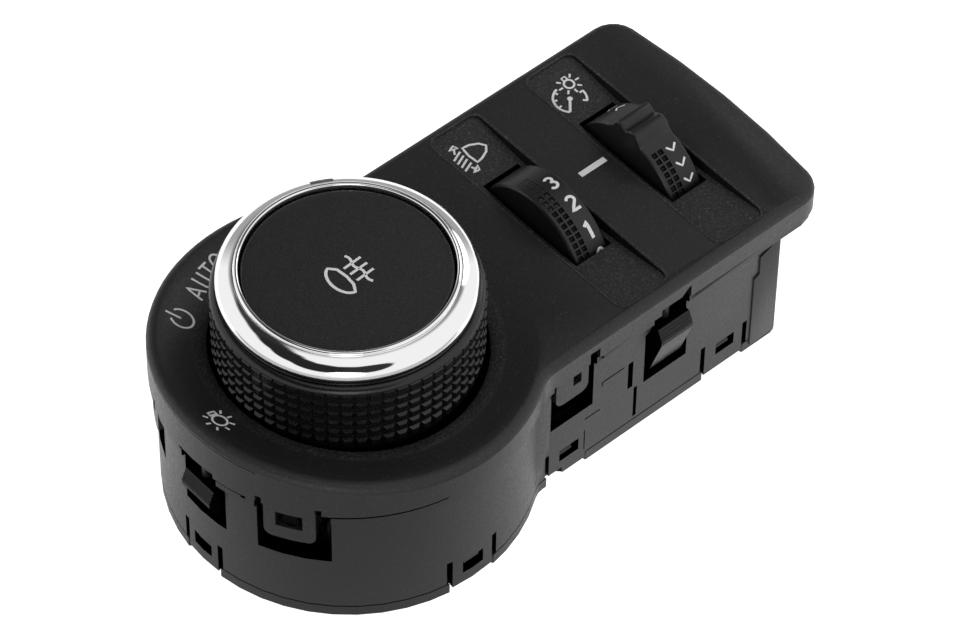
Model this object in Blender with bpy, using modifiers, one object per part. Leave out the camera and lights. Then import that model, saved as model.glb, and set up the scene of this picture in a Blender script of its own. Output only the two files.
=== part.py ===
# Headlight switch for a car dashboard: one front panel with a push-and-turn knob and two thumbwheels.
# Sizes are in millimetres. Heights are measured from the panel's flat face, with +Z towards the
# driver, and MM turns them into Blender's metres when a mesh is made. The knob's axis is the Z axis.

import math

import bmesh
import bpy
from mathutils import Matrix, Vector

MM = 0.001
GAP = 0.3                      # space kept between pieces that touch
PANEL_HEIGHT = 34.9            # panel face above the rear cover's outer face
WELD = 0.00001

# Panel outline
PANEL = {"round_r": 35.4, "half_width": 28.3, "end_x": 90.4, "end_r": 185.0, "corner_r": 5.5, "neck_r": 7.0}
PANEL_THICKNESS = 2.7
SKIRT_THICKNESS = 1.8
SKIRT_DEPTH = 5.8              # along the straight sides
END_SKIRT_DEPTH = 5.3          # round the knob's end
END_SKIRT_X = 14.0
PANEL_EDGE_ROUND = 1.6
SWEEP_X = 12.0                 # from here the face lifts towards the round end
SWEEP_RATE = 0.0022

# Dish and hole round the knob
DISH = ((33.6, 0.06), (31.5, -0.55), (29.5, -1.05), (27.5, -1.42), (25.5, -1.65))
KNOB_HOLE_R = 24.9
KNOB_HOLE_EDGE = -2.0

# Housing
BODY = {"round_r": 34.15, "half_width": 27.05, "end_x": 80.5, "end_r": 900.0, "corner_r": 1.8, "neck_r": 4.0}
WALL = 1.8
FLANGE_INSET = 0.5
FLANGE_TOP = -6.1
FLANGE_BOTTOM = -8.2
DECK_BOTTOM = -8.4
HOUSING_BOTTOM = -33.5
HOUSING_EDGE = -31.9           # where the rear cover's rim takes over from the wall
COVER_TOP = -32.2
COVER_BOTTOM = -34.9
STEP_X = 79.8                  # the end wall steps in below STEP_Z
STEP_Z = -14.7

# Thumbwheels: slots and finger scoops
WHEEL_CENTRE_X = (46.6, 69.8)
WHEEL_Y = 0.1
WHEEL_Z = -8.4
WHEEL_R = 13.5
DIMMER_R = 12.6
WHEEL_WIDTH = 7.2
SLOT_WIDTH = 8.4
SLOT_LENGTH = 25.2
SCOOP_WIDTH = 11.7
SCOOP_LENGTH = 52.4
SCOOP_DEPTH = 1.85
SCOOP_SWEEP_R = 225.0
SCOOP_PAN_BOTTOM = -3.6
AXLE_R = 1.5

# Dash latches: narrow arms that hang inside the panel's skirt, with a wide ribbed nose and a ramp
LATCH_WIDTH = 7.5
LATCH_X = 51.9
LATCH_END_Y = -1.1
LATCH_ARM_WIDTH = 3.2
LATCH_SETBACK = 1.7
LATCH_THICKNESS = 1.3
LATCH_TOP = -1.9
LATCH_END_TOP = 2.3
LATCH_NOSE_TOP = -9.7
LATCH_NOSE_LOW = -12.3
LATCH_NOSE_START = 0.95
LATCH_NOSE_REACH = 2.1
LATCH_TIP = -21.8
LATCH_END_TIP = -18.8
LATCH_RIBS = 4
LATCH_RIB_DEPTH = 0.2

# Knob
KNURL_COLUMNS = 60
KNURL_ROWS = 6
KNURL_BASE_R = 23.5
KNURL_HEIGHT = 0.6
KNURL_LOW = -0.4
KNURL_PITCH = 2.35
RING_R = 23.0
RING_SEAT = 16.0
BUTTON_R = 18.5
BUTTON_TOP = 18.75
POINTER_ANGLE = 62.2
POINTER_SPAN = 11.2

# Turning mechanism under the knob
TUBE_R = 12.0
TUBE_BORE_R = 9.5
DETENT_R = 20.6
DETENT_COUNT = 16
BOARD_TOP = -24.4
BOARD_BOTTOM = -26.0

COLOURS = {
    "panel_black": ((0.018, 0.018, 0.019), 0.45, 0.0),
    "housing_black": ((0.035, 0.035, 0.036), 0.55, 0.0),
    "grip_black": ((0.016, 0.016, 0.017), 0.5, 0.0),
    "chrome": ((0.8, 0.8, 0.82), 0.08, 1.0),
    "window_smoke": ((0.06, 0.06, 0.07), 0.2, 0.0),
    "light_guide_clear": ((0.75, 0.78, 0.8), 0.15, 0.0),
    "board_green": ((0.02, 0.12, 0.05), 0.5, 0.0),
    "brass": ((0.7, 0.5, 0.2), 0.3, 1.0),
    "spring_steel": ((0.5, 0.5, 0.52), 0.3, 1.0),
    "mechanism_white": ((0.7, 0.69, 0.65), 0.5, 0.0),
}


def clear_scene():
    for obj in list(bpy.data.objects):
        bpy.data.objects.remove(obj, do_unlink=True)


clear_scene()
part_collection = bpy.data.collections.new("headlight_switch")
cutter_collection = bpy.data.collections.new("headlight_switch_cutters")
bpy.context.scene.collection.children.link(part_collection)
bpy.context.scene.collection.children.link(cutter_collection)


def empty(name, location, parent=None):
    """An empty whose place is given in millimetres from its parent."""
    obj = bpy.data.objects.new(name, None)
    obj.location = Vector(location) * MM
    obj.parent = parent
    part_collection.objects.link(obj)
    return obj


panel_frame = empty("panel_frame", (0, 0, PANEL_HEIGHT))
knob_axis = empty("knob_axis", (0, 0, 0), panel_frame)
wheel_axes = [
    empty("levelling_axis", (WHEEL_CENTRE_X[0], WHEEL_Y, WHEEL_Z), panel_frame),
    empty("dimmer_axis", (WHEEL_CENTRE_X[1], WHEEL_Y, WHEEL_Z), panel_frame),
]


def material(name):
    found = bpy.data.materials.get(name)
    if found:
        return found
    colour, roughness, metallic = COLOURS[name]
    made = bpy.data.materials.new(name)
    made.use_nodes = True
    shader = made.node_tree.nodes["Principled BSDF"]
    shader.inputs["Base Color"].default_value = (*colour, 1.0)
    shader.inputs["Roughness"].default_value = roughness
    shader.inputs["Metallic"].default_value = metallic
    return made


def smoothing_nodes():
    """Node group that shades smoothly, with edges above an angle left sharp."""
    group = bpy.data.node_groups.new("smooth_below_angle", "GeometryNodeTree")
    group.interface.new_socket("Geometry", in_out="INPUT", socket_type="NodeSocketGeometry")
    group.interface.new_socket("Angle", in_out="INPUT", socket_type="NodeSocketFloat")
    group.interface.new_socket("Geometry", in_out="OUTPUT", socket_type="NodeSocketGeometry")
    source = group.nodes.new("NodeGroupInput")
    result = group.nodes.new("NodeGroupOutput")
    faces = group.nodes.new("GeometryNodeSetShadeSmooth")
    faces.inputs["Shade Smooth"].default_value = True
    edges = group.nodes.new("GeometryNodeSetShadeSmooth")
    edges.domain = "EDGE"
    edges.inputs["Shade Smooth"].default_value = False
    edge_angle = group.nodes.new("GeometryNodeInputMeshEdgeAngle")
    sharper = group.nodes.new("FunctionNodeCompare")
    sharper.operation = "GREATER_THAN"
    group.links.new(source.outputs["Geometry"], faces.inputs["Geometry"])
    group.links.new(faces.outputs["Geometry"], edges.inputs["Geometry"])
    group.links.new(edge_angle.outputs["Unsigned Angle"], sharper.inputs[0])
    group.links.new(source.outputs["Angle"], sharper.inputs[1])
    group.links.new(sharper.outputs["Result"], edges.inputs["Selection"])
    group.links.new(edges.outputs["Geometry"], result.inputs["Geometry"])
    return group


smoothing = smoothing_nodes()


def finish(obj, colour, parent=panel_frame, smooth_angle=35):
    """Give a part its material, parent and shading."""
    obj.data.materials.clear()
    obj.data.materials.append(material(colour))
    obj.parent = parent
    for modifier in obj.modifiers:
        modifier.object.parent = parent
    shading = obj.modifiers.new("shading", "NODES")
    shading.node_group = smoothing
    shading["Socket_1"] = math.radians(smooth_angle)
    return obj


def object_from(name, bm):
    """A part object from a bmesh in metres, its faces turned outwards."""
    bmesh.ops.recalc_face_normals(bm, faces=bm.faces)
    mesh = bpy.data.meshes.new(name)
    bm.to_mesh(mesh)
    bm.free()
    obj = bpy.data.objects.new(name, mesh)
    part_collection.objects.link(obj)
    obj.parent = panel_frame
    return obj


def evaluated_bmesh(holder):
    """The evaluated shape of a holder object as a welded bmesh; the holder is removed."""
    bpy.context.view_layer.update()
    depsgraph = bpy.context.evaluated_depsgraph_get()
    mesh = bpy.data.meshes.new_from_object(holder.evaluated_get(depsgraph))
    mesh.transform(holder.matrix_world)
    bm = bmesh.new()
    bm.from_mesh(mesh)
    bmesh.ops.remove_doubles(bm, verts=bm.verts, dist=WELD)
    bpy.data.meshes.remove(mesh)
    bpy.data.objects.remove(holder, do_unlink=True)
    return bm


def prism(name, loops, low, high):
    """Flat outlines in millimetres, filled and extruded from low to high."""
    curve = bpy.data.curves.new(name + "_outline", "CURVE")
    curve.dimensions = "2D"
    curve.fill_mode = "BOTH"
    curve.extrude = (high - low) / 2 * MM
    for loop in loops:
        spline = curve.splines.new("POLY")
        spline.points.add(len(loop) - 1)
        for point, (x, y) in zip(spline.points, loop):
            point.co = (x * MM, y * MM, 0.0, 1.0)
        spline.use_cyclic_u = True
    holder = bpy.data.objects.new(name + "_outline", curve)
    holder.location.z = (low + high) / 2 * MM
    part_collection.objects.link(holder)
    bm = evaluated_bmesh(holder)
    bmesh.ops.dissolve_limit(bm, angle_limit=0.002, verts=[], edges=bm.edges)
    return object_from(name, bm)


def turned(name, profile, steps, closed=True):
    """A profile of (radius, height) turned about Z, running down its outer side."""
    mesh = bpy.data.meshes.new(name + "_profile")
    bm = bmesh.new()
    verts = [bm.verts.new((r * MM, 0.0, z * MM)) for r, z in profile]
    for first, second in zip(verts, verts[1:]):
        bm.edges.new((first, second))
    if closed:
        bm.edges.new((verts[-1], verts[0]))
    bm.to_mesh(mesh)
    bm.free()
    holder = bpy.data.objects.new(name + "_profile", mesh)
    part_collection.objects.link(holder)
    screw = holder.modifiers.new("turn", "SCREW")
    screw.angle = math.tau
    screw.steps = steps
    screw.render_steps = steps
    screw.use_merge_vertices = True
    screw.merge_threshold = WELD
    return object_from(name, evaluated_bmesh(holder))


def box(name, x_range, y_range, z_range):
    bm = bmesh.new()
    bmesh.ops.create_cube(bm, size=1.0)
    sizes = [(high - low) * MM for low, high in (x_range, y_range, z_range)]
    centre = [(high + low) / 2 * MM for low, high in (x_range, y_range, z_range)]
    bmesh.ops.scale(bm, vec=sizes, verts=bm.verts)
    bmesh.ops.translate(bm, vec=centre, verts=bm.verts)
    return object_from(name, bm)


def rod(name, radius, low, high, sides=24, centre=(0, 0)):
    bm = bmesh.new()
    bmesh.ops.create_cone(bm, cap_ends=True, segments=sides, radius1=radius * MM, radius2=radius * MM,
                          depth=(high - low) * MM)
    bmesh.ops.translate(bm, vec=(centre[0] * MM, centre[1] * MM, (high + low) / 2 * MM), verts=bm.verts)
    return object_from(name, bm)


def arc(centre, radius, start, end, step=5.0):
    """Points of an arc; angles are in degrees."""
    count = max(2, math.ceil(abs(end - start) / step) + 1)
    angles = [math.radians(start + (end - start) * i / (count - 1)) for i in range(count)]
    return [(centre[0] + radius * math.cos(a), centre[1] + radius * math.sin(a)) for a in angles]


def sector(name, start, end, r_range, z_range):
    """A block that follows the round end between two angles."""
    inner = arc((0, 0), r_range[0], start, end, 3.0)
    outer = arc((0, 0), r_range[1], end, start, 3.0)
    return prism(name, [inner + outer], z_range[0], z_range[1])


def keyhole_outline(sizes, inset=0.0, step=7.5):
    """Round end and straight sides joined by a neck fillet, with a gently bowed far end."""
    round_r = sizes["round_r"] - inset
    half = sizes["half_width"] - inset
    end_r = sizes["end_r"] - inset
    corner = max(sizes["corner_r"] - inset, 0.4)
    neck = sizes["neck_r"] + inset
    neck_y = half + neck
    neck_x = math.sqrt((round_r + neck) ** 2 - neck_y ** 2)
    neck_angle = math.degrees(math.atan2(neck_y, neck_x))
    end_centre_x = sizes["end_x"] - inset - end_r
    corner_y = half - corner
    corner_x = end_centre_x + math.sqrt((end_r - corner) ** 2 - corner_y ** 2)
    bow_angle = math.degrees(math.atan2(corner_y, corner_x - end_centre_x))
    lower = arc((0, 0), round_r, 180, 360 - neck_angle, step)
    lower += arc((neck_x, -neck_y), neck, 180 - neck_angle, 90, 3 * step)[1:]
    lower += arc((corner_x, -corner_y), corner, -90, -bow_angle, 4 * step)
    lower += arc((end_centre_x, 0), end_r, -bow_angle, 0, step)[1:]
    upper = [(x, -y) for x, y in reversed(lower[1:-1])]
    return lower + upper


def hide_tool(tool):
    part_collection.objects.unlink(tool)
    cutter_collection.objects.link(tool)
    tool.hide_render = True
    tool.display_type = "WIRE"


def combine(target, tool, operation):
    """Boolean with the EXACT solver; the tool becomes a hidden guide."""
    modifier = target.modifiers.new(tool.name, "BOOLEAN")
    modifier.operation = operation
    modifier.object = tool
    tool.parent = target.parent
    hide_tool(tool)


def cut(target, *tools):
    for tool in tools:
        combine(target, tool, "DIFFERENCE")


def add(target, *tools):
    for tool in tools:
        combine(target, tool, "UNION")


def merged(name, pieces):
    """Separate tool shapes that stay clear of each other, as one tool."""
    bm = bmesh.new()
    for piece in pieces:
        bm.from_mesh(piece.data)
        bpy.data.objects.remove(piece, do_unlink=True)
    return object_from(name, bm)


def round_rim(obj, height, width, segments):
    """Round the edges between the face at a height and the walls beside it."""
    bm = bmesh.new()
    bm.from_mesh(obj.data)
    level = height * MM
    rim = [
        edge for edge in bm.edges
        if all(abs(vert.co.z - level) < WELD for vert in edge.verts)
        and any(abs(face.normal.z) < 0.5 for face in edge.link_faces)
    ]
    bmesh.ops.bevel(bm, geom=rim, offset=width * MM, segments=segments, profile=0.5, affect="EDGES",
                    material=-1, clamp_overlap=True)
    bm.to_mesh(obj.data)
    bm.free()


def turn_to_x(obj):
    """Lay a shape that was turned about Z along the X axis."""
    obj.data.transform(Matrix.Rotation(math.radians(90), 4, "Y"))
    return obj


def side_profile(name, points, width, outward_angle, centre):
    """An outline of (outward, height) extruded across a wall that faces outward_angle."""
    obj = prism(name, [points], -width / 2, width / 2)
    stand_up = Matrix.Rotation(math.radians(90), 4, "X")
    face_out = Matrix.Rotation(math.radians(outward_angle), 4, "Z")
    place = Matrix.Translation(Vector((centre[0] * MM, centre[1] * MM, 0.0)))
    obj.data.transform(place @ face_out @ stand_up)
    return obj


# Front panel

def rise(x):
    """Height of the panel's lifted round end above its flat part."""
    return SWEEP_RATE * max(SWEEP_X - x, 0.0) ** 2


def sweep_up(obj, low):
    """Lift what stands above a height so that it follows the panel's round end."""
    bm = bmesh.new()
    bm.from_mesh(obj.data)
    for x in range(-32, 12, 4):
        geometry = bm.verts[:] + bm.edges[:] + bm.faces[:]
        bmesh.ops.bisect_plane(bm, geom=geometry, plane_co=(x * MM, 0, 0), plane_no=(1, 0, 0), dist=WELD)
    bmesh.ops.triangulate(bm, faces=bm.faces)
    for vert in bm.verts:
        if vert.co.z > low * MM:
            vert.co.z += rise(vert.co.x / MM) * MM
    bm.to_mesh(obj.data)
    bm.free()
    return obj


def scoop(name, centre_x):
    """Finger scoop: a rounded rectangle whose floor sweeps down to the slot, with drafted sides."""
    half_w = SCOOP_WIDTH / 2
    half_l = SCOOP_LENGTH / 2
    corner = 2.0
    outline = []
    for cx, cy, start in ((half_w, half_l, 0), (-half_w, half_l, 90), (-half_w, -half_l, 180), (half_w, -half_l, 270)):
        inner = (centre_x + cx - math.copysign(corner, cx), WHEEL_Y + cy - math.copysign(corner, cy))
        outline += arc(inner, corner, start, start + 90, 22.5)
    top = 1.5
    obj = prism(name, [outline], -1.0, top)
    bm = bmesh.new()
    bm.from_mesh(obj.data)
    strips = 16
    for i in range(1, strips):
        y = WHEEL_Y - half_l + SCOOP_LENGTH * i / strips
        geometry = bm.verts[:] + bm.edges[:] + bm.faces[:]
        bmesh.ops.bisect_plane(bm, geom=geometry, plane_co=(0, y * MM, 0), plane_no=(0, 1, 0), dist=WELD)
    floor = [face for face in bm.faces if face.normal.z < -0.9]
    bmesh.ops.triangulate(bm, faces=floor)
    draft = 0.45
    for vert in bm.verts:
        offset_x = vert.co.x / MM - centre_x
        y = vert.co.y / MM - WHEEL_Y
        if vert.co.z < 0:
            vert.co.z = -(SCOOP_DEPTH - y * y / (2 * SCOOP_SWEEP_R)) * MM
        height = vert.co.z / MM
        vert.co.x = (centre_x + offset_x * (1 + draft * height / half_w)) * MM
    bm.to_mesh(obj.data)
    bm.free()
    return obj


def latch_outline(tip):
    """Latch head seen from its side: ribbed nose and ramp."""
    nose = [(LATCH_NOSE_START - 0.35, LATCH_NOSE_TOP)]
    rib_height = (LATCH_NOSE_LOW - LATCH_NOSE_TOP) / LATCH_RIBS
    rib_reach = (LATCH_NOSE_REACH - LATCH_NOSE_START) / LATCH_RIBS
    for i in range(LATCH_RIBS):
        reach = LATCH_NOSE_START + rib_reach * i
        height = LATCH_NOSE_TOP + rib_height * i
        nose.append((reach, height + 0.1 * rib_height))
        nose.append((reach + 0.6 * rib_reach + LATCH_RIB_DEPTH, height + 0.5 * rib_height))
    back = -LATCH_SETBACK - LATCH_THICKNESS
    return [(back, LATCH_NOSE_TOP - 0.9), (-LATCH_SETBACK, LATCH_NOSE_TOP)] + nose + [
        (LATCH_NOSE_REACH, LATCH_NOSE_LOW),
        (LATCH_NOSE_REACH, LATCH_NOSE_LOW - 0.9),
        (-0.65, tip),
        (-0.65 - LATCH_THICKNESS, tip),
        (back, LATCH_NOSE_LOW - 1.5),
    ]


def latch(name, top, tip, outward_angle, centre):
    """Head on a narrower arm that is set back behind the skirt."""
    arm = [(-LATCH_SETBACK - LATCH_THICKNESS, top), (-LATCH_SETBACK, top),
           (-LATCH_SETBACK, LATCH_NOSE_TOP - 0.5), (-LATCH_SETBACK - LATCH_THICKNESS, LATCH_NOSE_TOP - 1.6)]
    return [
        side_profile(name + "_arm", arm, LATCH_ARM_WIDTH, outward_angle, centre),
        side_profile(name + "_head", latch_outline(tip), LATCH_WIDTH, outward_angle, centre),
    ]


def latches():
    wall = BODY["half_width"]
    end_x = 0.3 - BODY["round_r"]
    return (latch("latch_lower", LATCH_TOP, LATCH_TIP, -90, (LATCH_X, -wall))
            + latch("latch_upper", LATCH_TOP, LATCH_TIP, 90, (LATCH_X, wall))
            + latch("latch_end", LATCH_END_TOP, LATCH_END_TIP, 180, (end_x, LATCH_END_Y)))


def skirt_gaps():
    """Openings in the skirt over the latches and beside the snap tabs."""
    half = LATCH_WIDTH / 2 + 0.15
    gaps = [box("gap_end", (-38, -31.4), (LATCH_END_Y - half, LATCH_END_Y + half + 1.0), (-9, -4.3))]
    for side in (-1, 1):
        y_range = sorted((side * 26.2, side * 30))
        arrow = [(LATCH_X - 3.2, -9), (LATCH_X - 3.2, -4.4), (LATCH_X + 1.6, -4.4), (LATCH_X + 3.2, -2.9),
                 (LATCH_X + 3.8, -2.9), (LATCH_X + 3.8, -9)]
        gaps.append(side_profile("gap_latch", arrow, 4.0, 0, (0, side * 28.2)))
        gaps.append(box("gap_tab", (31.6, 33.9), y_range, (-9, -3.2)))
        for start in (138.0, 155.6):
            angles = sorted((side * start, side * (start + 1.9)))
            gaps.append(sector("gap_round_tab", angles[0], angles[1], (32.9, 37), (-9, -3.8)))
    return merged("skirt_gaps", gaps)


def round_lower_corners(obj, low, radius):
    """Round the two lower corners of a tab that hangs on a wall."""
    bm = bmesh.new()
    bm.from_mesh(obj.data)
    corners = []
    for edge in bm.edges:
        first, second = (vert.co for vert in edge.verts)
        if max(abs(first.z - low * MM), abs(second.z - low * MM)) > WELD:
            continue
        middle = (first + second) / 2
        outward = Vector((min(middle.x, 0.0), middle.y, 0.0)).normalized()
        if abs((second - first).normalized().dot(outward)) > 0.98:
            corners.append(edge)
    bmesh.ops.bevel(bm, geom=corners, offset=radius * MM, segments=4, profile=0.5, affect="EDGES", material=-1)
    bm.to_mesh(obj.data)
    bm.free()
    return obj


def snap_tabs():
    """Tongues with a square eye that snap on to the housing."""
    tabs = []
    for side in (-1, 1):
        y_range = sorted((side * 26.2, side * 27.9))
        tabs.append(round_lower_corners(box("tab_side", (24.0, 31.6), y_range, (-12.6, -3.9)), -12.6, 1.7))
        angles = sorted((side * 139.9, side * 155.5))
        tab = sector("tab_round", angles[0], angles[1], (33.15, 34.8), (-14.0, -3.9))
        tabs.append(round_lower_corners(tab, -14.0, 1.5))
    return merged("snap_tabs", tabs)


def tab_eyes():
    eyes = []
    for side in (-1, 1):
        y_range = sorted((side * 24, side * 30))
        eyes.append(box("eye_side", (28.0, 29.9), y_range, (-9.4, -6.9)))
        angles = sorted((side * 143.7, side * 151.8))
        eyes.append(sector("eye_round", angles[0], angles[1], (31, 37), (-10.8, -7.2)))
    return merged("tab_eyes", eyes)


def fascia():
    panel = prism("fascia", [keyhole_outline(PANEL, 0, 4.5)], -SKIRT_DEPTH, 0)
    round_rim(panel, 0, PANEL_EDGE_ROUND, 3)
    sweep_up(panel, -PANEL_EDGE_ROUND - 0.2)
    cavity = prism("fascia_cavity", [keyhole_outline(PANEL, SKIRT_THICKNESS)], -10, -PANEL_THICKNESS)
    shorten = box("fascia_shorten", (-40, END_SKIRT_X), (-40, 40), (-10, -END_SKIRT_DEPTH))
    parting = sector("parting_line", 157, 203, (PANEL["round_r"] - 0.2, 37), (-2.15, -1.95))
    cut(panel, sweep_up(cavity, -5), shorten, sweep_up(parting, -5), skirt_gaps())
    pan_half = SCOOP_WIDTH / 2 + 1.7
    pans = [
        box("scoop_pan", (x - pan_half, x + pan_half), (WHEEL_Y - 25.6, WHEEL_Y + 25.6), (SCOOP_PAN_BOTTOM, -1.8))
        for x in WHEEL_CENTRE_X
    ]
    collar = turned("knob_collar", [(KNOB_HOLE_R - 0.8, -1.9), (KNOB_HOLE_R + 1.5, -1.9),
                                    (KNOB_HOLE_R + 1.5, -5.2), (KNOB_HOLE_R - 0.8, -5.2)], 48)
    add(panel, sweep_up(collar, -3), merged("scoop_pans", pans), snap_tabs())
    add(panel, *latches())
    dish = turned("dish", [(0, 9), (DISH[0][0], 9), *DISH, (KNOB_HOLE_R, KNOB_HOLE_EDGE), (KNOB_HOLE_R, -9), (0, -9)],
                  48, closed=False)
    cut(panel, sweep_up(dish, -5))
    for number, x in enumerate(WHEEL_CENTRE_X):
        cut(panel, scoop(f"scoop_{number + 1}", x))
    half_slot = SLOT_WIDTH / 2
    slots = merged("wheel_slots", [
        box("wheel_slot", (x - half_slot, x + half_slot),
            (WHEEL_Y - SLOT_LENGTH / 2, WHEEL_Y + SLOT_LENGTH / 2), (-6, 3))
        for x in WHEEL_CENTRE_X
    ])
    cut(panel, slots, wheel_room(), tab_eyes())
    return finish(panel, "panel_black")


def wheel_room():
    """Round clearance for the wheels under the slots."""
    rooms = []
    for x in WHEEL_CENTRE_X:
        room = turn_to_x(rod("wheel_room", WHEEL_R + 0.85, -SLOT_WIDTH / 2, SLOT_WIDTH / 2, 60))
        room.data.transform(Matrix.Translation(Vector((x, WHEEL_Y, WHEEL_Z)) * MM))
        rooms.append(room)
    return merged("wheel_rooms", rooms)


# Housing and rear cover

TONGUE_ANGLES = ((173.4, 186.6), (-98.6, -83.4), (83.4, 98.6))
TONGUE_X = ((23.5, 32.2), (61.5, 70.8))
SLIT_TOP = -26.0
SCREEN_BOTTOM = -24.0


def housing_edge_cuts():
    """Everything below the housing's edge that isn't a tongue."""
    band = (-36, HOUSING_EDGE)
    radii = (30.5, 38)
    pieces = [
        sector("edge_lower", 187.6, 260.4, radii, band),
        sector("edge_upper", 99.6, 172.4, radii, band),
    ]
    for side in (-1, 1):
        angles = sorted((side * 82.4, side * 45.0))
        pieces.append(sector("edge_neck", angles[0], angles[1], radii, band))
        pieces.append(box("edge_side", (32.2, 60.9), sorted((side * 23, side * 30)), band))
    pieces.append(box("edge_end", (71.3, 95), (-30, 30), band))
    return merged("housing_edge_cuts", pieces)


def housing_windows():
    """Windows for the latches and snap tabs, and the slits and eyes of the rear tongues."""
    end_outline = [(-6.3, -19.7), (4.1, -19.7), (4.1, -5), (-5.1, -5), (-5.1, -8.2), (-6.3, -8.2)]
    pieces = [side_profile("window_latch_end", end_outline, 8.0, 90, (-34, 0))]
    for start, end in TONGUE_ANGLES:
        middle = (start + end) / 2
        pieces.append(sector("slit", start - 2.0, start, (30.5, 38), (-36, SLIT_TOP)))
        pieces.append(sector("slit", end, end + 2.0, (30.5, 38), (-36, SLIT_TOP)))
        pieces.append(sector("eye", middle - 3.9, middle + 3.9, (30.5, 38), (-30.9, -27.6)))
    for side in (-1, 1):
        y_range = sorted((side * 23.5, side * 30))
        outline = [(46.1, -23.4), (56.5, -23.4), (56.5, -11.0), (55.9, -10.4), (55.9, -5), (47.4, -5),
                   (47.4, -9.8), (46.1, -10.5)]
        pieces.append(side_profile("window_latch", outline, 6.5, 0, (0, side * 26.75)))
        pieces.append(box("window_tab", (23.6, 33.7), y_range, (-19.5, -5)))
        for notch in ([(34.1, -6.6), (35.3, -7.5), (35.3, -5.8)], [(56.9, -5.9), (57.4, -7.4), (58.3, -5.9)]):
            pieces.append(side_profile("slit_end", notch, 1.6, 0, (0, side * 27.9)))
        angles = sorted((side * 135.5, side * 158.2))
        pieces.append(sector("window_round_tab", angles[0], angles[1], (31.5, 38), (-19.3, -5)))
        for low, high in ((26.0, 30.6), (64.2, 68.7)):
            pieces.append(box("eye", (low, high), y_range, (-29.8, -26.8)))
        for low, high, top, bottom in ((22.6, 23.5, SLIT_TOP, -36), (60.4, 61.5, -25.4, -36),
                                       (70.8, 71.9, SLIT_TOP, -36), (42.2, 43.4, -22.3, -15.3)):
            pieces.append(box("slit", (low, high), y_range, sorted((bottom, top))))
        pieces.append(box("slit", (43.8, 44.6), y_range, (-31.2, -23.1)))
    return merged("housing_windows", pieces)


def sloped_screen(side):
    """Screen behind a round tab, which falls back inwards towards its lower end."""
    angles = sorted((side * 134.6, side * 159.2))
    screen = sector("tab_screen", angles[0], angles[1], (31.2, 32.8), (SCREEN_BOTTOM, -7.6))
    for vert in screen.data.vertices:
        if vert.co.z < -15 * MM:
            shrink = 1 - 3.8 * MM / vert.co.xy.length
            vert.co.x *= shrink
            vert.co.y *= shrink
    return screen


def radial_rod(name, radius, r_range, angle, height, sides):
    """A round bar that points outwards from the knob's axis."""
    bar = turn_to_x(rod(name, radius, r_range[0], r_range[1], sides))
    bar.data.transform(Matrix.Rotation(math.radians(angle), 4, "Z"))
    bar.data.transform(Matrix.Translation(Vector((0, 0, height * MM))))
    return bar


def tab_screens():
    """Screens behind the windows, and the round pegs that stand in the round tabs' eyes."""
    screens = [
        sector("latch_screen", 165.0, 193.5, (25.2, 26.3), (-23.0, -7.6)),
        sector("latch_ledge", 165.4, 193.1, (25.8, 32.9), (-23.8, -22.6)),
    ]
    pegs = []
    gaps = [rod("ledge_hole", 2.1, -25, -21, 16, light_leg_places()[2])]
    for side in (-1, 1):
        y_range = sorted((side * 20.8, side * 22.0))
        screens.append(box("tab_screen", (22.8, 34.5), y_range, (SCREEN_BOTTOM, -7.6)))
        screens.append(box("latch_screen", (45.6, 57.2), y_range, (SCREEN_BOTTOM, -7.6)))
        screens.append(sloped_screen(side))
        pegs.append(radial_rod("peg", 1.55, (31.6, 34.3), side * 147.4, -9.2, 16))
        gaps.append(radial_rod("screen_gap", 2.1, (30.7, 33.2), side * 139.6, -9.1, 20))
    return screens, merged("tab_pegs", pegs), merged("screen_gaps", gaps)


def housing():
    shell = prism("housing", [keyhole_outline(BODY)], HOUSING_BOTTOM, -7.0)
    flange = prism("housing_flange", [keyhole_outline(PANEL, FLANGE_INSET)], FLANGE_BOTTOM, FLANGE_TOP)
    round_rim(flange, FLANGE_BOTTOM, 0.4, 1)
    add(shell, flange)
    cavity = prism("housing_cavity", [keyhole_outline(BODY, WALL)], -40, DECK_BOTTOM)
    end_step = box("end_step", (STEP_X, 85), (-30, 30), (-40, STEP_Z))
    cut(shell, cavity, end_step)
    deck_openings = merged("deck_openings", [
        rod("tube_hole", TUBE_R + 0.5, -12, -3, 40),
        box("wheel_bay", (39.2, 77.2), (-14.8, 14.8), (-12, -3)),
    ] + [
        rod("guide_hole", LIGHT_LEG_R + 0.3, -12, -3, 10, leg) for leg in light_leg_places()
    ])
    cut(shell, deck_openings, housing_edge_cuts(), housing_windows())
    pegs = [box("leaf_peg", (24.6, 27.2), sorted((side * 9.6, side * 12.0)), (-13.6, -7.6)) for side in (-1, 1)]
    ribs = [box("wall_rib", (x, x + 1.2), sorted((side * 22.8, side * 26.0)), (-22.0, -7.6))
            for x in (38.0, 60.0) for side in (-1, 1)]
    screens, tab_pegs, screen_gaps = tab_screens()
    add(shell, merged("housing_ribs", pegs + ribs), *screens)
    cut(shell, screen_gaps)
    add(shell, tab_pegs)
    return finish(shell, "housing_black")


def cover_notches():
    """Room for the housing's tongues in the cover's rim."""
    pieces = []
    for start, end in TONGUE_ANGLES:
        pieces.append(sector("notch", start - 1.0, end + 1.0, (32.0, 38), (-36, -31)))
    for side in (-1, 1):
        for low, high in TONGUE_X:
            pieces.append(box("notch", (low - 0.5, high + 0.4), sorted((side * 24.95, side * 30)), (-36, -31)))
    return merged("cover_notches", pieces)


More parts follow.
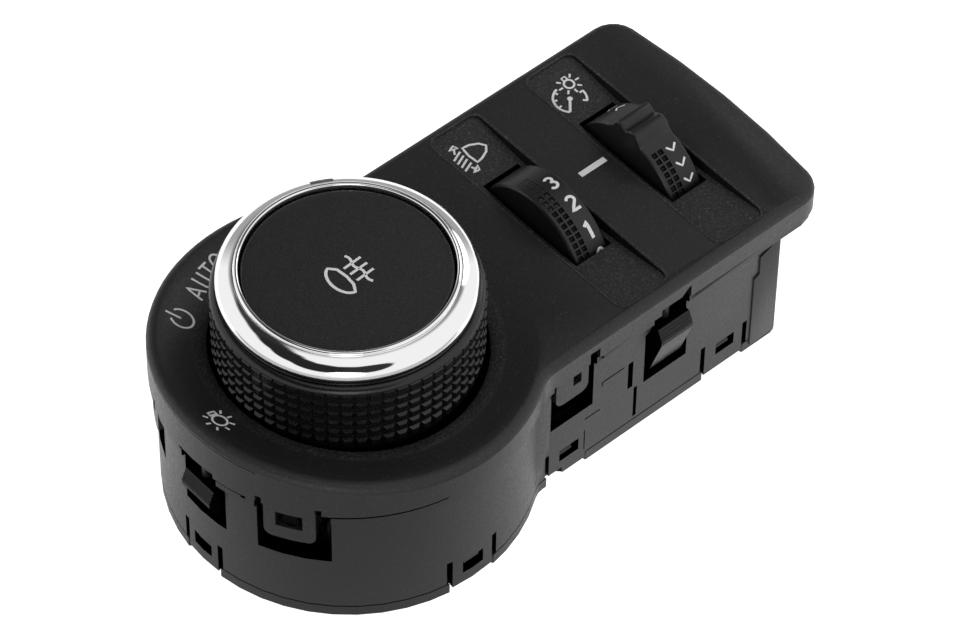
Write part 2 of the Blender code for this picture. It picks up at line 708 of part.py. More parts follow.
def cover_lugs():
    """Wedge-shaped catches that stand in the tongues' eyes."""
    lugs = []
    lug = [(-3.0, -30.6), (1.1, -29.2), (1.1, -28.6), (-1.2, -28.2), (-3.0, -28.2)]
    for angle, radius in ((180, 32.35), (-91, 32.35), (91, 32.35)):
        at = (radius * math.cos(math.radians(angle)), radius * math.sin(math.radians(angle)))
        lugs.append(side_profile("lug", lug, 3.4, angle, at))
    for x in (28.0, 66.4):
        for side in (-1, 1):
            lugs.append(side_profile("lug", lug, 3.0, side * 90, (x, side * 25.25)))
    return merged("cover_lugs", lugs)


PIN_X = (44.6, 48.8, 53.0, 57.2, 61.4)
PIN_Y = (-3.9, 3.9)
PIN_HALF = 0.4


def rear_cover():
    cover = prism("rear_cover", [keyhole_outline(BODY)], COVER_BOTTOM, COVER_TOP)
    round_rim(cover, COVER_BOTTOM, 0.4, 1)
    cut(cover, box("cover_step", (STEP_X, 85), (-30, 30), (-40, -20)), cover_notches())
    shroud = box("cover_shroud", (40.0, 66.0), (-8.0, 8.0), (-33.0, BOARD_BOTTOM - GAP))
    posts = [rod("cover_post", 2.2, -33.0, BOARD_BOTTOM - GAP, 12, place)
             for place in ((-22, 0), (0, 22), (0, -22), (34, 17), (34, -17), (72, 17), (72, -17))]
    add(cover, plug_wall(), merged("cover_standing", posts + [shroud]), cover_lugs())
    socket = box("cover_socket", (41.5, 64.5), (-6.4, 6.4), (-37, -27.5))
    key = box("cover_key", (51.2, 54.8), (6.0, 7.3), (-37, -27.9))
    holes = [box("pin_hole", (x - 0.75, x + 0.75), (y - 0.75, y + 0.75), (-28.2, -25)) for x in PIN_X for y in PIN_Y]
    cut(cover, socket, key, merged("pin_holes", holes))
    relief = turned("cover_relief", [(11.0, -34.3), (27.0, -34.3), (27.0, -36), (11.0, -36)], 40)
    cut(cover, relief)
    return finish(cover, "housing_black")


def plug_wall():
    """Low wall of the cover that stands inside the housing's walls."""
    outer = keyhole_outline(dict(BODY, end_x=STEP_X), 2.3, 10)
    inner = keyhole_outline(dict(BODY, end_x=STEP_X), 3.7, 10)
    return prism("cover_plug_wall", [outer, inner], -32.6, -28.0)


# Light guide, board and connector

LIGHT_LEG_R = 1.5
LIGHT_LEG_ANGLES = (84.6, 107.0, 180.0)
LIGHT_LEG_CIRCLE = 28.55


def light_leg_places():
    return [(LIGHT_LEG_CIRCLE * math.cos(math.radians(a)), LIGHT_LEG_CIRCLE * math.sin(math.radians(a)))
            for a in LIGHT_LEG_ANGLES]


def light_guide():
    ring = turned("light_guide", [(26.9, -3.1), (30.2, -3.1), (30.2, -5.1), (26.9, -5.1)], 32)
    legs = [rod("light_leg", LIGHT_LEG_R, BOARD_TOP + 1.5, -4.0, 10, place) for place in light_leg_places()]
    add(ring, merged("light_legs", legs))
    return finish(ring, "light_guide_clear")


def board_and_parts():
    board = prism("circuit_board", [keyhole_outline(dict(BODY, end_x=STEP_X), 4.2, 10)], BOARD_BOTTOM, BOARD_TOP)
    finish(board, "board_green")
    switch = box("push_switch", (-3.2, 3.2), (-3.2, 3.2), (BOARD_TOP + GAP, BOARD_TOP + 3.5))
    add(switch, rod("push_switch_stud", 1.7, BOARD_TOP + 3.0, BOARD_TOP + 4.6, 16))
    finish(switch, "mechanism_white")
    for number, (x, y) in enumerate(light_leg_places()):
        lamp = box(f"led_{number + 1}", (x - 1.2, x + 1.2), (y - 1.2, y + 1.2), (BOARD_TOP + GAP, BOARD_TOP + 1.1))
        finish(lamp, "mechanism_white")
    number = 0
    for y in PIN_Y:
        for x in PIN_X:
            number += 1
            pin = box(f"terminal_pin_{number:02d}", (x - PIN_HALF, x + PIN_HALF), (y - PIN_HALF, y + PIN_HALF),
                      (-33.4, BOARD_BOTTOM - GAP))
            finish(pin, "brass")


# Knob

def knob_grip():
    top = KNURL_LOW + KNURL_ROWS * KNURL_PITCH
    knurl = [(KNURL_BASE_R, KNURL_LOW + KNURL_PITCH * row) for row in range(KNURL_ROWS, -1, -1)]
    profile = [(20.7, 15.7), (22.4, 15.7), (22.4, 14.9), (22.9, 14.75), (23.7, 14.4), (24.0, top + 0.1)]
    profile += knurl
    profile += [(23.5, -1.7), (22.2, -1.7), (22.2, 6.2), (TUBE_R + GAP, 6.2), (TUBE_R + GAP, 8.2), (20.7, 8.2)]
    grip = turned("knob_grip", profile, KNURL_COLUMNS)
    bm = bmesh.new()
    bm.from_mesh(grip.data)
    low = KNURL_LOW * MM
    high = top * MM
    cells = [
        face for face in bm.faces
        if low < face.calc_center_median().z < high
        and all(abs(vert.co.xy.length - KNURL_BASE_R * MM) < WELD for vert in face.verts)
    ]
    bmesh.ops.poke(bm, faces=cells, offset=KNURL_HEIGHT * MM, center_mode="MEAN")
    bm.to_mesh(grip.data)
    bm.free()
    return finish(grip, "grip_black", knob_axis, 25)


def pointer_block(name, grow, z_range, r_range):
    half = POINTER_SPAN / 2 + grow
    return sector(name, POINTER_ANGLE - half, POINTER_ANGLE + half, r_range, z_range)


def chrome_ring():
    profile = [(18.85, 19.45), (19.2, 19.68), (19.6, 19.5), (19.8, 19.15), (20.6, 18.95), (21.5, 18.4),
               (22.4, 17.5), (RING_R, 16.5), (22.7, RING_SEAT), (20.3, RING_SEAT), (20.3, 12.6), (18.85, 12.6)]
    ring = turned("chrome_ring", profile, 48)
    cut(ring, pointer_block("pointer_notch", 0.0, (16.7, 22), (20.7, 25)))
    return finish(ring, "chrome", knob_axis)


def pointer_window():
    window = turned("pointer_window", [(21.1, 18.4), (21.9, 17.7), (22.4, 17.05), (21.1, 17.05)], 48)
    keep = pointer_block("pointer_keep", -0.9, (14, 22), (18, 26))
    combine(window, keep, "INTERSECT")
    return finish(window, "window_smoke", knob_axis)


def fog_button():
    profile = [(0, BUTTON_TOP), (18.0, BUTTON_TOP), (18.35, BUTTON_TOP - 0.12), (BUTTON_R, BUTTON_TOP - 0.5),
               (BUTTON_R, 10.6), (17.2, 10.6), (17.2, 16.9), (0, 16.9)]
    cap = turned("fog_button", profile, 40, closed=False)
    return finish(cap, "panel_black", knob_axis)


def button_plunger():
    profile = [(0, 16.6), (4.2, 16.6), (4.2, 14.0), (2.6, 13.0), (2.6, 8.4), (9.0, 8.4), (9.0, 7.0), (2.6, 7.0),
               (2.6, -18.0), (0, -18.0)]
    return finish(turned("button_plunger", profile, 12, closed=False), "mechanism_white", knob_axis)


def helix(name, radius, wire, low, high, turns, steps, parent, along_x=False):
    """A coil spring with flat, closed end turns, as one poly curve with round section."""
    count = turns * steps + 1
    points = []
    for i in range(count):
        share = i / (count - 1)
        climb = min(max((share * turns - 0.75) / (turns - 1.5), 0.0), 1.0)
        angle = math.tau * turns * share
        points.append((radius * math.cos(angle), radius * math.sin(angle), low + (high - low) * climb))
    curve = bpy.data.curves.new(name + "_path", "CURVE")
    curve.dimensions = "3D"
    curve.bevel_depth = wire * MM
    curve.bevel_resolution = 0
    curve.use_fill_caps = True
    spline = curve.splines.new("POLY")
    spline.points.add(len(points) - 1)
    for point, (x, y, z) in zip(spline.points, points):
        point.co = (x * MM, y * MM, z * MM, 1.0)
    holder = bpy.data.objects.new(name + "_path", curve)
    part_collection.objects.link(holder)
    obj = object_from(name, evaluated_bmesh(holder))
    if along_x:
        turn_to_x(obj)
    return finish(obj, "spring_steel", parent)


def switch_rotor():
    profile = [(TUBE_BORE_R, 7.9), (TUBE_R, 7.9), (TUBE_R, -10.4), (DETENT_R, -10.4), (DETENT_R, -13.2),
               (TUBE_R, -13.2), (TUBE_R, -21.4), (TUBE_BORE_R, -21.4), (TUBE_BORE_R, -8.4),
               (4.2, -8.4), (4.2, -6.6), (TUBE_BORE_R, -6.6)]
    rotor = turned("switch_rotor", profile, 32)
    notches = []
    for i in range(DETENT_COUNT):
        angle = math.tau * i / DETENT_COUNT
        at = ((DETENT_R + 0.9) * math.cos(angle), (DETENT_R + 0.9) * math.sin(angle))
        notches.append(rod("detent", 2.0, -14, -9.5, 8, at))
    cut(rotor, merged("detents", notches))
    return finish(rotor, "mechanism_white", knob_axis)


def contact_wiper():
    wiper = turned("contact_wiper", [(10.0, -21.7), (16.5, -21.7), (16.5, -22.1), (10.0, -22.1)], 24)
    fingers = []
    for i in range(3):
        finger = side_profile("finger", [(15.4, -21.9), (15.8, -21.9), (17.2, -23.9), (16.7, -24.05)], 2.2,
                              120 * i + 60, (0, 0))
        fingers.append(finger)
    add(wiper, merged("wiper_fingers", fingers))
    return finish(wiper, "brass", knob_axis)


def detent_spring():
    """Leaf spring whose nose sits in one notch of the rotor."""
    half = 0.2
    nose_x = DETENT_R - 0.55
    front = [(25.0, -9.3), (23.4, -3.4), (nose_x + 0.6, -0.9), (nose_x, 0.0), (nose_x + 0.6, 0.9), (23.4, 3.4),
             (25.0, 9.3)]
    back = [(x + 2 * half, y) for x, y in reversed(front)]
    leaf = prism("detent_spring", [front + back], -13.0, -10.8)
    return finish(leaf, "spring_steel")


# Thumbwheels

def wheel_solid(name, radius, hub_r, columns):
    """Thumbwheel turned about its axle, with rows of cells for the grip studs; a hub radius dishes it."""
    half = WHEEL_WIDTH / 2
    stud_low = -2.9
    stud_pitch = 1.5
    profile = [(radius - 0.5, half), (radius, half - 0.4), (radius, stud_low + 2 * stud_pitch),
               (radius, stud_low + stud_pitch), (radius, stud_low), (radius - 0.6, -half), (AXLE_R + GAP, -half),
               (AXLE_R + GAP, half)]
    if hub_r:
        profile += [(hub_r, half), (hub_r, 0.8), (radius - 2.2, 0.8), (radius - 2.2, half)]
    wheel = turned(name, profile, columns)
    return wheel, stud_low * MM, (stud_low + 2 * stud_pitch) * MM


def stud_wheel(wheel, radius, low, high, arc_range):
    """Raise a pyramid on each cell of the stud band within an arc of the rim."""
    bm = bmesh.new()
    bm.from_mesh(wheel.data)
    cells = []
    for face in bm.faces:
        centre = face.calc_center_median()
        angle = math.degrees(math.atan2(centre.y, centre.x))
        on_rim = all(abs(vert.co.xy.length - radius * MM) < WELD for vert in face.verts)
        if on_rim and low < centre.z < high and arc_range[0] < angle < arc_range[1]:
            cells.append(face)
    bmesh.ops.poke(bm, faces=cells, offset=0.5 * MM, center_mode="MEAN")
    bm.to_mesh(wheel.data)
    bm.free()


def levelling_wheel():
    wheel, low, high = wheel_solid("levelling_wheel", WHEEL_R, 0, 56)
    stud_wheel(wheel, WHEEL_R, low, high, (-181, 181))
    turn_to_x(wheel)
    return finish(wheel, "grip_black", wheel_axes[0], 25)


def dimmer_wheel():
    wheel, low, high = wheel_solid("dimmer_wheel", DIMMER_R, 3.6, 44)
    stud_wheel(wheel, DIMMER_R, low, high, (70, 150))
    stud_wheel(wheel, DIMMER_R, low, high, (-181, -110))
    turn_to_x(wheel)
    half = WHEEL_WIDTH / 2
    ridges = [(-3.2, 11.6), (4.9, 11.6), (4.5, 13.6), (3.7, 14.9), (2.9, 15.1), (2.2, 14.7), (1.5, 14.2), (0.8, 14.3),
              (0.2, 15.1), (-0.6, 15.4), (-1.4, 15.0), (-2.5, 13.4)]
    ridge = prism("dimmer_ridge", [ridges], -half, half)
    to_wheel = Matrix(((0, 0, 1, 0), (1, 0, 0, 0), (0, 1, 0, 0), (0, 0, 0, 1)))
    ridge.data.transform(to_wheel)
    ridge.data.transform(Matrix.Diagonal((0.985, 1.0, 1.0, 1.0)))
    add(wheel, ridge)
    return finish(wheel, "grip_black", wheel_axes[1], 25)


def axle(name, parent, low, high):
    pin = turn_to_x(rod(name, AXLE_R, low, high, 24))
    return finish(pin, "spring_steel", parent)


EAR_HALF_GAP = 4.3
EAR_THICKNESS = 1.6


def wheel_carrier():
    """Frame with four ears that carry the two axles."""
    base = box("wheel_carrier", (39.8, 76.6), (-9.0, 9.0), (BOARD_TOP + GAP, -23.0))
    ears = []
    holes = []
    ear = [(-6.5, -23.5), (6.5, -23.5), (3.4, -9.0)] + arc((WHEEL_Y, WHEEL_Z), 3.3, 0, 180, 22.5) + [(-3.2, -9.0)]
    for x in WHEEL_CENTRE_X:
        for side in (-1, 1):
            middle = x + side * (EAR_HALF_GAP + EAR_THICKNESS / 2)
            piece = prism("ear", [ear], -EAR_THICKNESS / 2, EAR_THICKNESS / 2)
            piece.data.transform(Matrix(((0, 0, 1, middle * MM), (1, 0, 0, 0), (0, 1, 0, 0), (0, 0, 0, 1))))
            ears.append(piece)
            hole = turn_to_x(rod("ear_hole", AXLE_R + GAP, -1.5, 1.5, 24))
            hole.data.transform(Matrix.Translation(Vector((middle, WHEEL_Y, WHEEL_Z)) * MM))
            holes.append(hole)
    add(base, merged("carrier_ears", ears))
    cut(base, merged("carrier_holes", holes))
    return finish(base, "mechanism_white")


def potentiometer(name, low_x, high_x):
    """Flat rotary sensor that the axle's end turns in."""
    body = box(name, (low_x, high_x), (WHEEL_Y - 4.5, WHEEL_Y + 4.5), (-14.5, -4.2))
    hole = turn_to_x(rod(name + "_bore", AXLE_R + GAP, -2, 2, 24))
    hole.data.transform(Matrix.Translation(Vector(((low_x + high_x) / 2, WHEEL_Y, WHEEL_Z)) * MM))
    cut(body, hole)
    return finish(body, "housing_black")


def build():
    fascia()
    housing()
    rear_cover()
    light_guide()
    board_and_parts()
    knob_grip()
    chrome_ring()
    pointer_window()
    fog_button()
    button_plunger()
    helix("button_spring", 7.6, 0.45, -5.6, 6.1, 5, 12, knob_axis)
    switch_rotor()
    contact_wiper()
    detent_spring()
    levelling_wheel()
    dimmer_wheel()
    axle("levelling_axle", wheel_axes[0], -6.4, 8.6)
    axle("dimmer_axle", wheel_axes[1], -8.6, 6.4)
    helix("dimmer_return_spring", 4.6, 0.3, 1.5, 3.2, 3, 12, wheel_axes[1], along_x=True)
    wheel_carrier()
    potentiometer("levelling_sensor", 53.0, 56.2)
    potentiometer("dimmer_sensor", 60.2, 63.4)


build()
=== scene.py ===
import math

import bmesh
import bpy
from mathutils import Matrix, Vector
from mathutils.bvhtree import BVHTree


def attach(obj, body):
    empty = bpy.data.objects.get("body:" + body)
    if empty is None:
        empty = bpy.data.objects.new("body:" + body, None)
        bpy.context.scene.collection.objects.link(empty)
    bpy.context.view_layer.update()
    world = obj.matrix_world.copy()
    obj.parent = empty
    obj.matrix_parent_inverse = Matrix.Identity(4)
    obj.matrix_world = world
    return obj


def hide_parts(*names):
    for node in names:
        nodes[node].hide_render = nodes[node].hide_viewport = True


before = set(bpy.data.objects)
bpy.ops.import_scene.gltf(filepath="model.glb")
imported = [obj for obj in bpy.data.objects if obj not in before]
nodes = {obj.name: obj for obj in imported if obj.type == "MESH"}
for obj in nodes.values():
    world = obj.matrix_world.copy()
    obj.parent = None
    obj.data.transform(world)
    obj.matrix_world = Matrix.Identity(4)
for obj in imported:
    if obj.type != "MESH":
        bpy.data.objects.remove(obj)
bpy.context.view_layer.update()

mm = 0.001
faceHeight = 34.9              # panel face above the origin, in millimetres
weld = 0.000002
rimTolerance = 0.00002
flatAngle = 0.3
scoopCentres = (46.6, 69.8)    # finger scoops along the panel, and their middle across it
scoopMiddle = 0.1
materials = {}
print("frame loaded:", len(nodes), "nodes")


# Mesh helpers

def newBmesh(profile, closed=True, lift=faceHeight):
    # chain of (radius, height) points in the XZ plane, with heights above the panel face or another lift
    bm = bmesh.new()
    verts = [bm.verts.new((r * mm, 0.0, (z + lift) * mm)) for r, z in profile]
    following = verts[1:] + verts[:1] if closed else verts[1:]
    for first, second in zip(verts, following):
        bm.edges.new((first, second))
    return bm


def spin(bm, geom, angle, steps, whole):
    # turn about the knob's axis; a whole turn is joined to its start
    return bmesh.ops.spin(bm, geom=geom, cent=(0, 0, 0), axis=(0, 0, 1), angle=angle, steps=steps,
                          use_merge=whole, use_duplicate=False)


def spinRing(profile, steps, closed=True, lift=faceHeight):
    bm = newBmesh(profile, closed, lift)
    spin(bm, bm.verts[:] + bm.edges[:], math.tau, steps, True)
    bmesh.ops.remove_doubles(bm, verts=bm.verts, dist=weld)
    bmesh.ops.recalc_face_normals(bm, faces=bm.faces)
    return bm


def inset(bm, cells, thickness, depth=0.0):
    bmesh.ops.inset_individual(bm, faces=cells, thickness=thickness, depth=depth, use_even_offset=True)


def onlyVerts(geom):
    return [item for item in geom if isinstance(item, bmesh.types.BMVert)]


def onlyEdges(geom):
    return [item for item in geom if isinstance(item, bmesh.types.BMEdge)]


def between(value, limits):
    return limits[0] < value < limits[1]


def pieceFrom(name, bm, material, angle=35.0):
    mesh = bpy.data.meshes.new(name)
    bm.to_mesh(mesh)
    bm.free()
    piece = bpy.data.objects.new(name, mesh)
    bpy.context.scene.collection.objects.link(piece)
    mesh.materials.clear()
    mesh.materials.append(material)
    mesh.shade_smooth()
    mesh.set_sharp_from_angle(angle=math.radians(angle))
    return piece


def mergedCopy(node):
    # the node's mesh with its corners merged and its flat faces whole again
    bm = bmesh.new()
    bm.from_mesh(nodes[node].data)
    bmesh.ops.remove_doubles(bm, verts=bm.verts, dist=weld)
    bmesh.ops.dissolve_limit(bm, angle_limit=math.radians(flatAngle), verts=bm.verts, edges=bm.edges)
    return bm


def meshOf(thing):
    # mesh of a curve or modified object, in place; the object is removed
    bpy.context.view_layer.update()
    depsgraph = bpy.context.evaluated_depsgraph_get()
    mesh = bpy.data.meshes.new_from_object(thing.evaluated_get(depsgraph))
    mesh.transform(thing.matrix_world)
    bpy.data.objects.remove(thing, do_unlink=True)
    return mesh


# Materials

def shaderOf(material):
    return material.node_tree.nodes["Principled BSDF"]


def newMaterial(name, color, roughness, metallic=0.0, specular=0.5):
    material = bpy.data.materials.new(name)
    material.use_nodes = True
    inputs = shaderOf(material).inputs
    inputs["Base Color"].default_value = (*color, 1.0)
    inputs["Roughness"].default_value = roughness
    inputs["Metallic"].default_value = metallic
    inputs["Specular IOR Level"].default_value = specular
    inputs["IOR"].default_value = 1.5
    materials[name] = material
    return material


def addNode(material, kind, **values):
    node = material.node_tree.nodes.new(kind)
    for key, value in values.items():
        if hasattr(node, key):
            setattr(node, key, value)
        else:
            node.inputs[key.replace("_", " ")].default_value = value
    return node


def connect(material, source, sink):
    material.node_tree.links.new(source, sink)


def noise(material, scale, detail=2.0, rough=0.5):
    place = material.node_tree.nodes.get("Texture Coordinate") or addNode(material, "ShaderNodeTexCoord")
    texture = addNode(material, "ShaderNodeTexNoise", Scale=scale, Detail=detail, Roughness=rough)
    connect(material, place.outputs["Object"], texture.inputs["Vector"])
    return texture.outputs["Fac"]


def ramp(material, source, low, high, lowColor=(0, 0, 0, 1), highColor=(1, 1, 1, 1)):
    node = addNode(material, "ShaderNodeValToRGB")
    node.color_ramp.elements[0].position = low
    node.color_ramp.elements[1].position = high
    node.color_ramp.elements[0].color = lowColor
    node.color_ramp.elements[1].color = highColor
    connect(material, source, node.inputs["Fac"])
    return node.outputs["Color"]


def mottle(material, scale, low, high, dark, light):
    # the base colour drifts between two tones
    color = ramp(material, noise(material, scale), low, high, (*dark, 1), (*light, 1))
    connect(material, color, shaderOf(material).inputs["Base Color"])


def bump(material, height, distance):
    shader = shaderOf(material)
    node = addNode(material, "ShaderNodeBump", Strength=1.0, Distance=distance)
    connect(material, height, node.inputs["Height"])
    before = shader.inputs["Normal"].links
    if before:
        connect(material, before[0].from_socket, node.inputs["Normal"])
    connect(material, node.outputs["Normal"], shader.inputs["Normal"])


def mapRange(material, source, low, high, fromLow=0.0, fromHigh=1.0):
    node = addNode(material, "ShaderNodeMapRange", From_Min=fromLow, From_Max=fromHigh, To_Min=low,
                   To_Max=high)
    connect(material, source, node.inputs["Value"])
    return node.outputs["Result"]


def multiplied(material, color, factor):
    node = addNode(material, "ShaderNodeMix", data_type="RGBA", blend_type="MULTIPLY")
    node.inputs[0].default_value = 1.0
    connect(material, color, node.inputs[6])
    connect(material, factor, node.inputs[7])
    return node.outputs[2]


def calculated(material, operation, first, second):
    node = addNode(material, "ShaderNodeMath", operation=operation)
    for socket, value in zip(node.inputs, (first, second)):
        if isinstance(value, (int, float)):
            socket.default_value = value
        else:
            connect(material, value, socket)
    return node.outputs["Value"]


def painted(material, attribute):
    return addNode(material, "ShaderNodeAttribute", attribute_name=attribute).outputs["Fac"]


def against(material, source, operation, fixed):
    # combine a vector with a fixed one
    node = addNode(material, "ShaderNodeVectorMath", operation=operation)
    node.inputs[1].default_value = fixed
    connect(material, source, node.inputs[0])
    return node


def nearAxis(material, edges):
    # 1 inside a radius about the knob's axis, 0 outside it
    place = material.node_tree.nodes["Texture Coordinate"].outputs["Object"]
    flat = against(material, place, "MULTIPLY", (1.0, 1.0, 0.0))
    radius = addNode(material, "ShaderNodeVectorMath", operation="LENGTH")
    connect(material, flat.outputs["Vector"], radius.inputs[0])
    return mapRange(material, radius.outputs["Value"], 1.0, 0.0, edges[0] * mm, edges[1] * mm)


# for all plastics: how the grain changes the gloss, how specks and grit set in, and the share of colour and
# gloss left on faces painted unlit
grainRules = {"specular": 0.5, "middle": (0.3, 0.7), "fineRough": 0.6, "cloudShare": 60.0, "cloudDrift": 0.03,
              "speckShare": 0.8, "speckEdge": 0.1, "gritEdge": 0.08, "unlit": 0.03}


def grainyPlastic(name, look):
    # moulded plastic: fine grain in relief and gloss, and light specks. A painted tone of 1 gives the second
    # finish of a piece; tones below 0 are painted shade, down to -1 for an inner face that no light reaches
    material = newMaterial(name, look["color"], look["roughness"], specular=grainRules["specular"])
    shader = shaderOf(material)
    fine = noise(material, look["grain"], 2.0, grainRules["fineRough"])
    cloud = noise(material, look["grain"] / grainRules["cloudShare"], 2.0)
    glossLow = look["roughness"] - look["glossSpread"]
    glossHigh = look["roughness"] + look["glossSpread"]
    rough = mapRange(material, fine, glossLow, glossHigh, *grainRules["middle"])
    drift = grainRules["cloudDrift"]
    rough = calculated(material, "ADD", rough, mapRange(material, cloud, -drift, drift))
    speck = noise(material, look["grain"] * grainRules["speckShare"], 1.0)
    dark = (*look["color"], 1)
    light = (*[c * look["speckGain"] for c in look["color"]], 1)
    color = ramp(material, speck, look["speckFrom"], look["speckFrom"] + grainRules["speckEdge"], dark, light)
    relief = fine
    if "second" in look:
        tone = painted(material, "tone")
        second = look["second"]
        extra = mapRange(material, tone, 0.0, second["roughness"] - look["roughness"])
        rough = calculated(material, "ADD", rough, extra)
        color = multiplied(material, color, mapRange(material, tone, 1.0, second["gain"]))
        # painted shade: a tone below 0 darkens the colour and the gloss of faces that light hardly reaches
        shade = mapRange(material, tone, grainRules["unlit"], 1.0, -1.0, 0.0)
        color = multiplied(material, color, shade)
        gloss = calculated(material, "MULTIPLY", shade, grainRules["specular"])
        connect(material, gloss, shader.inputs["Specular IOR Level"])
    if "grit" in look:
        grit = look["grit"]
        coarse = calculated(material, "MAXIMUM", nearAxis(material, grit["zone"]), painted(material, "grit"))
        gritTexture = noise(material, grit["grain"], 1.0)
        bright = ramp(material, gritTexture, grit["from"], grit["from"] + grainRules["gritEdge"])
        glow = mapRange(material, calculated(material, "MULTIPLY", coarse, bright), 1.0, grit["gain"])
        color = multiplied(material, color, glow)
        rough = calculated(material, "ADD", rough, mapRange(material, coarse, 0.0, grit["roughness"]))
        relief = calculated(material, "MULTIPLY", fine, mapRange(material, coarse, 1.0, grit["relief"]))
    bump(material, relief, look["depth"])
    connect(material, rough, shader.inputs["Roughness"])
    connect(material, color, shader.inputs["Base Color"])


plainLook = {"roughness": 0.5, "glossSpread": 0.05, "depth": 0.00001}
plasticLooks = {
    "panel satin black": {
        "color": (0.0102, 0.0102, 0.0106), "grain": 2600.0, "glossSpread": 0.1, "depth": 0.00004,
        "speckFrom": 0.62, "speckGain": 2.5, "second": {"roughness": 0.36, "gain": 1.1},
        "grit": {"zone": (27.0, 27.7), "grain": 2700.0, "from": 0.52, "gain": 3.2, "roughness": 0.1,
                 "relief": 2.4}},
    "housing moulded black": {
        "color": (0.011, 0.011, 0.011), "roughness": 0.36, "grain": 2300.0, "glossSpread": 0.09,
        "depth": 0.00003, "speckFrom": 0.64, "speckGain": 2.0, "second": {"roughness": 0.36, "gain": 1.0}},
    "knob grip black": {
        "color": (0.0025, 0.0025, 0.0025), "roughness": 0.26, "grain": 2800.0, "speckFrom": 0.68,
        "speckGain": 3.0},
    "cap black": {
        "color": (0.013, 0.013, 0.013), "grain": 2600.0, "glossSpread": 0.1, "depth": 0.00003,
        "speckFrom": 0.64, "speckGain": 2.0},
    "thumbwheel black": {
        "color": (0.006, 0.006, 0.006), "roughness": 0.42, "grain": 2800.0, "speckFrom": 0.68,
        "speckGain": 2.0},
    "mechanism ivory": {"color": (0.62, 0.6, 0.55), "grain": 2400.0, "speckFrom": 0.66, "speckGain": 1.05},
    "sensor black": {"color": (0.02, 0.02, 0.02), "grain": 2600.0, "speckFrom": 0.66, "speckGain": 1.4},
    "light guide clear": {
        "color": (0.72, 0.76, 0.8), "roughness": 0.18, "grain": 900.0, "glossSpread": 0.03,
        "speckFrom": 0.7, "speckGain": 1.05},
    "circuit board green": {
        "color": (0.015, 0.1, 0.04), "roughness": 0.35, "grain": 1800.0, "speckFrom": 0.6,
        "speckGain": 1.4},
}
for lookName, look in plasticLooks.items():
    grainyPlastic(lookName, {**plainLook, **look})

chrome = newMaterial("polished chrome", (0.92, 0.92, 0.925), 0.06, metallic=1.0)
bump(chrome, noise(chrome, 900.0, 1.0), 0.000001)
chromeGloss = mapRange(chrome, noise(chrome, 220.0), 0.04, 0.09)
connect(chrome, chromeGloss, shaderOf(chrome).inputs["Roughness"])
# painted shade: near-black strips without gloss stand in for the shade inside slits and seams
paintedSlitShade = newMaterial("unlit gap", (0.0005, 0.0005, 0.0005), 0.9, specular=0.0)
mottle(paintedSlitShade, 900.0, 0.3, 0.7, (0.0004, 0.0004, 0.0004), (0.0007, 0.0007, 0.0007))
brass = newMaterial("tinned brass", (0.7, 0.52, 0.24), 0.3, metallic=1.0)
steel = newMaterial("spring wire", (0.5, 0.5, 0.52), 0.3, metallic=1.0)
for metal in (brass, steel):
    bump(metal, noise(metal, 3000.0), 0.000004)
smoked = newMaterial("smoked window", (0.09, 0.09, 0.095), 0.3, specular=0.05)
mottle(smoked, 700.0, 0.35, 0.65, (0.05, 0.05, 0.052), (0.13, 0.13, 0.135))
bump(smoked, noise(smoked, 1200.0), 0.000002)
printGrey = newMaterial("light grey print", (0.85, 0.85, 0.85), 0.55)
mottle(printGrey, 4000.0, 0.3, 0.7, (0.78, 0.78, 0.78), (0.92, 0.92, 0.92))
print("materials ready:", len(materials))


# Panel, housing and rear cover

mouldings = {"fascia": "panel satin black", "housing": "housing moulded black",
             "rear_cover": "housing moulded black"}
sweep = {"from": 12.0, "rate": 0.0022}
housingWall = {"roundRadius": 34.15, "sideY": 27.05, "endX": 80.1, "straightFrom": 20.0}

# dash latches: middle of each head on the wall, and the way it faces
latchHeads = [((51.9, -27.0), (0.0, -1.0)), ((51.9, 27.0), (0.0, 1.0)), ((-34.2, -1.1), (-1.0, 0.0))]
latchZone = {"halfLength": 4.2, "outward": (-2.6, 3.2), "bottom": -22.5, "belowRise": 6.2, "cheek": 0.7,
             "ledge": 0.9, "facing": 0.2, "noseOut": 0.6, "noseHeights": (-12.95, -8.5), "step": 0.5}
roundWall = {"tilt": 0.2, "spread": 0.15, "radius": 30.0, "radial": 0.98}
# tones painted on faces: 1 is the second finish and 0 the first; every negative tone is painted shade, -1
# where no light reaches, the others for the pegs, the inner screens, the latch noses and steps, and the scoop
# walls
toneOf = {"plain": 0.0, "skirt": 1.0, "unlit": -1.0, "ramp": 1.0, "step": -0.3, "nose": -0.68, "peg": -0.97,
          "screen": -0.86, "scoopWall": -0.75}
# where each tone lies: heights from the panel face and depths behind the wall, in millimetres
toneZone = {
    "pegInner": -0.05, "pegHeights": (-10.9, -7.55), "insideFrom": 0.35, "insideAbove": -34.0,
    "screenX": -20.0, "screenInner": (0.8, 4.5), "screenHeights": (-14.5, -4.0), "screenY": 18.4,
    "screenHalf": 7.5, "wallTilt": 0.6, "skirtBelow": 1.5, "wallDepth": 1.0, "buriedBelow": 4.0,
    "scoopHalfWidth": 6.3, "scoopHalfLength": 26.6, "scoopTilt": 0.9, "scoopAbove": -8.0,
    "floorTilt": 0.98, "floorBelow": -0.2, "floorFrom": 38.0,
}


def rise(x):
    return sweep["rate"] * max(sweep["from"] - x, 0.0) ** 2


def depthInside(point):
    # how far a point lies behind the housing's outer wall, in millimetres
    x, y = point.xy / mm
    depth = housingWall["roundRadius"] - math.hypot(x, y)
    if x > housingWall["straightFrom"]:
        depth = max(depth, min(housingWall["sideY"] - abs(y), housingWall["endX"] - x))
    return depth


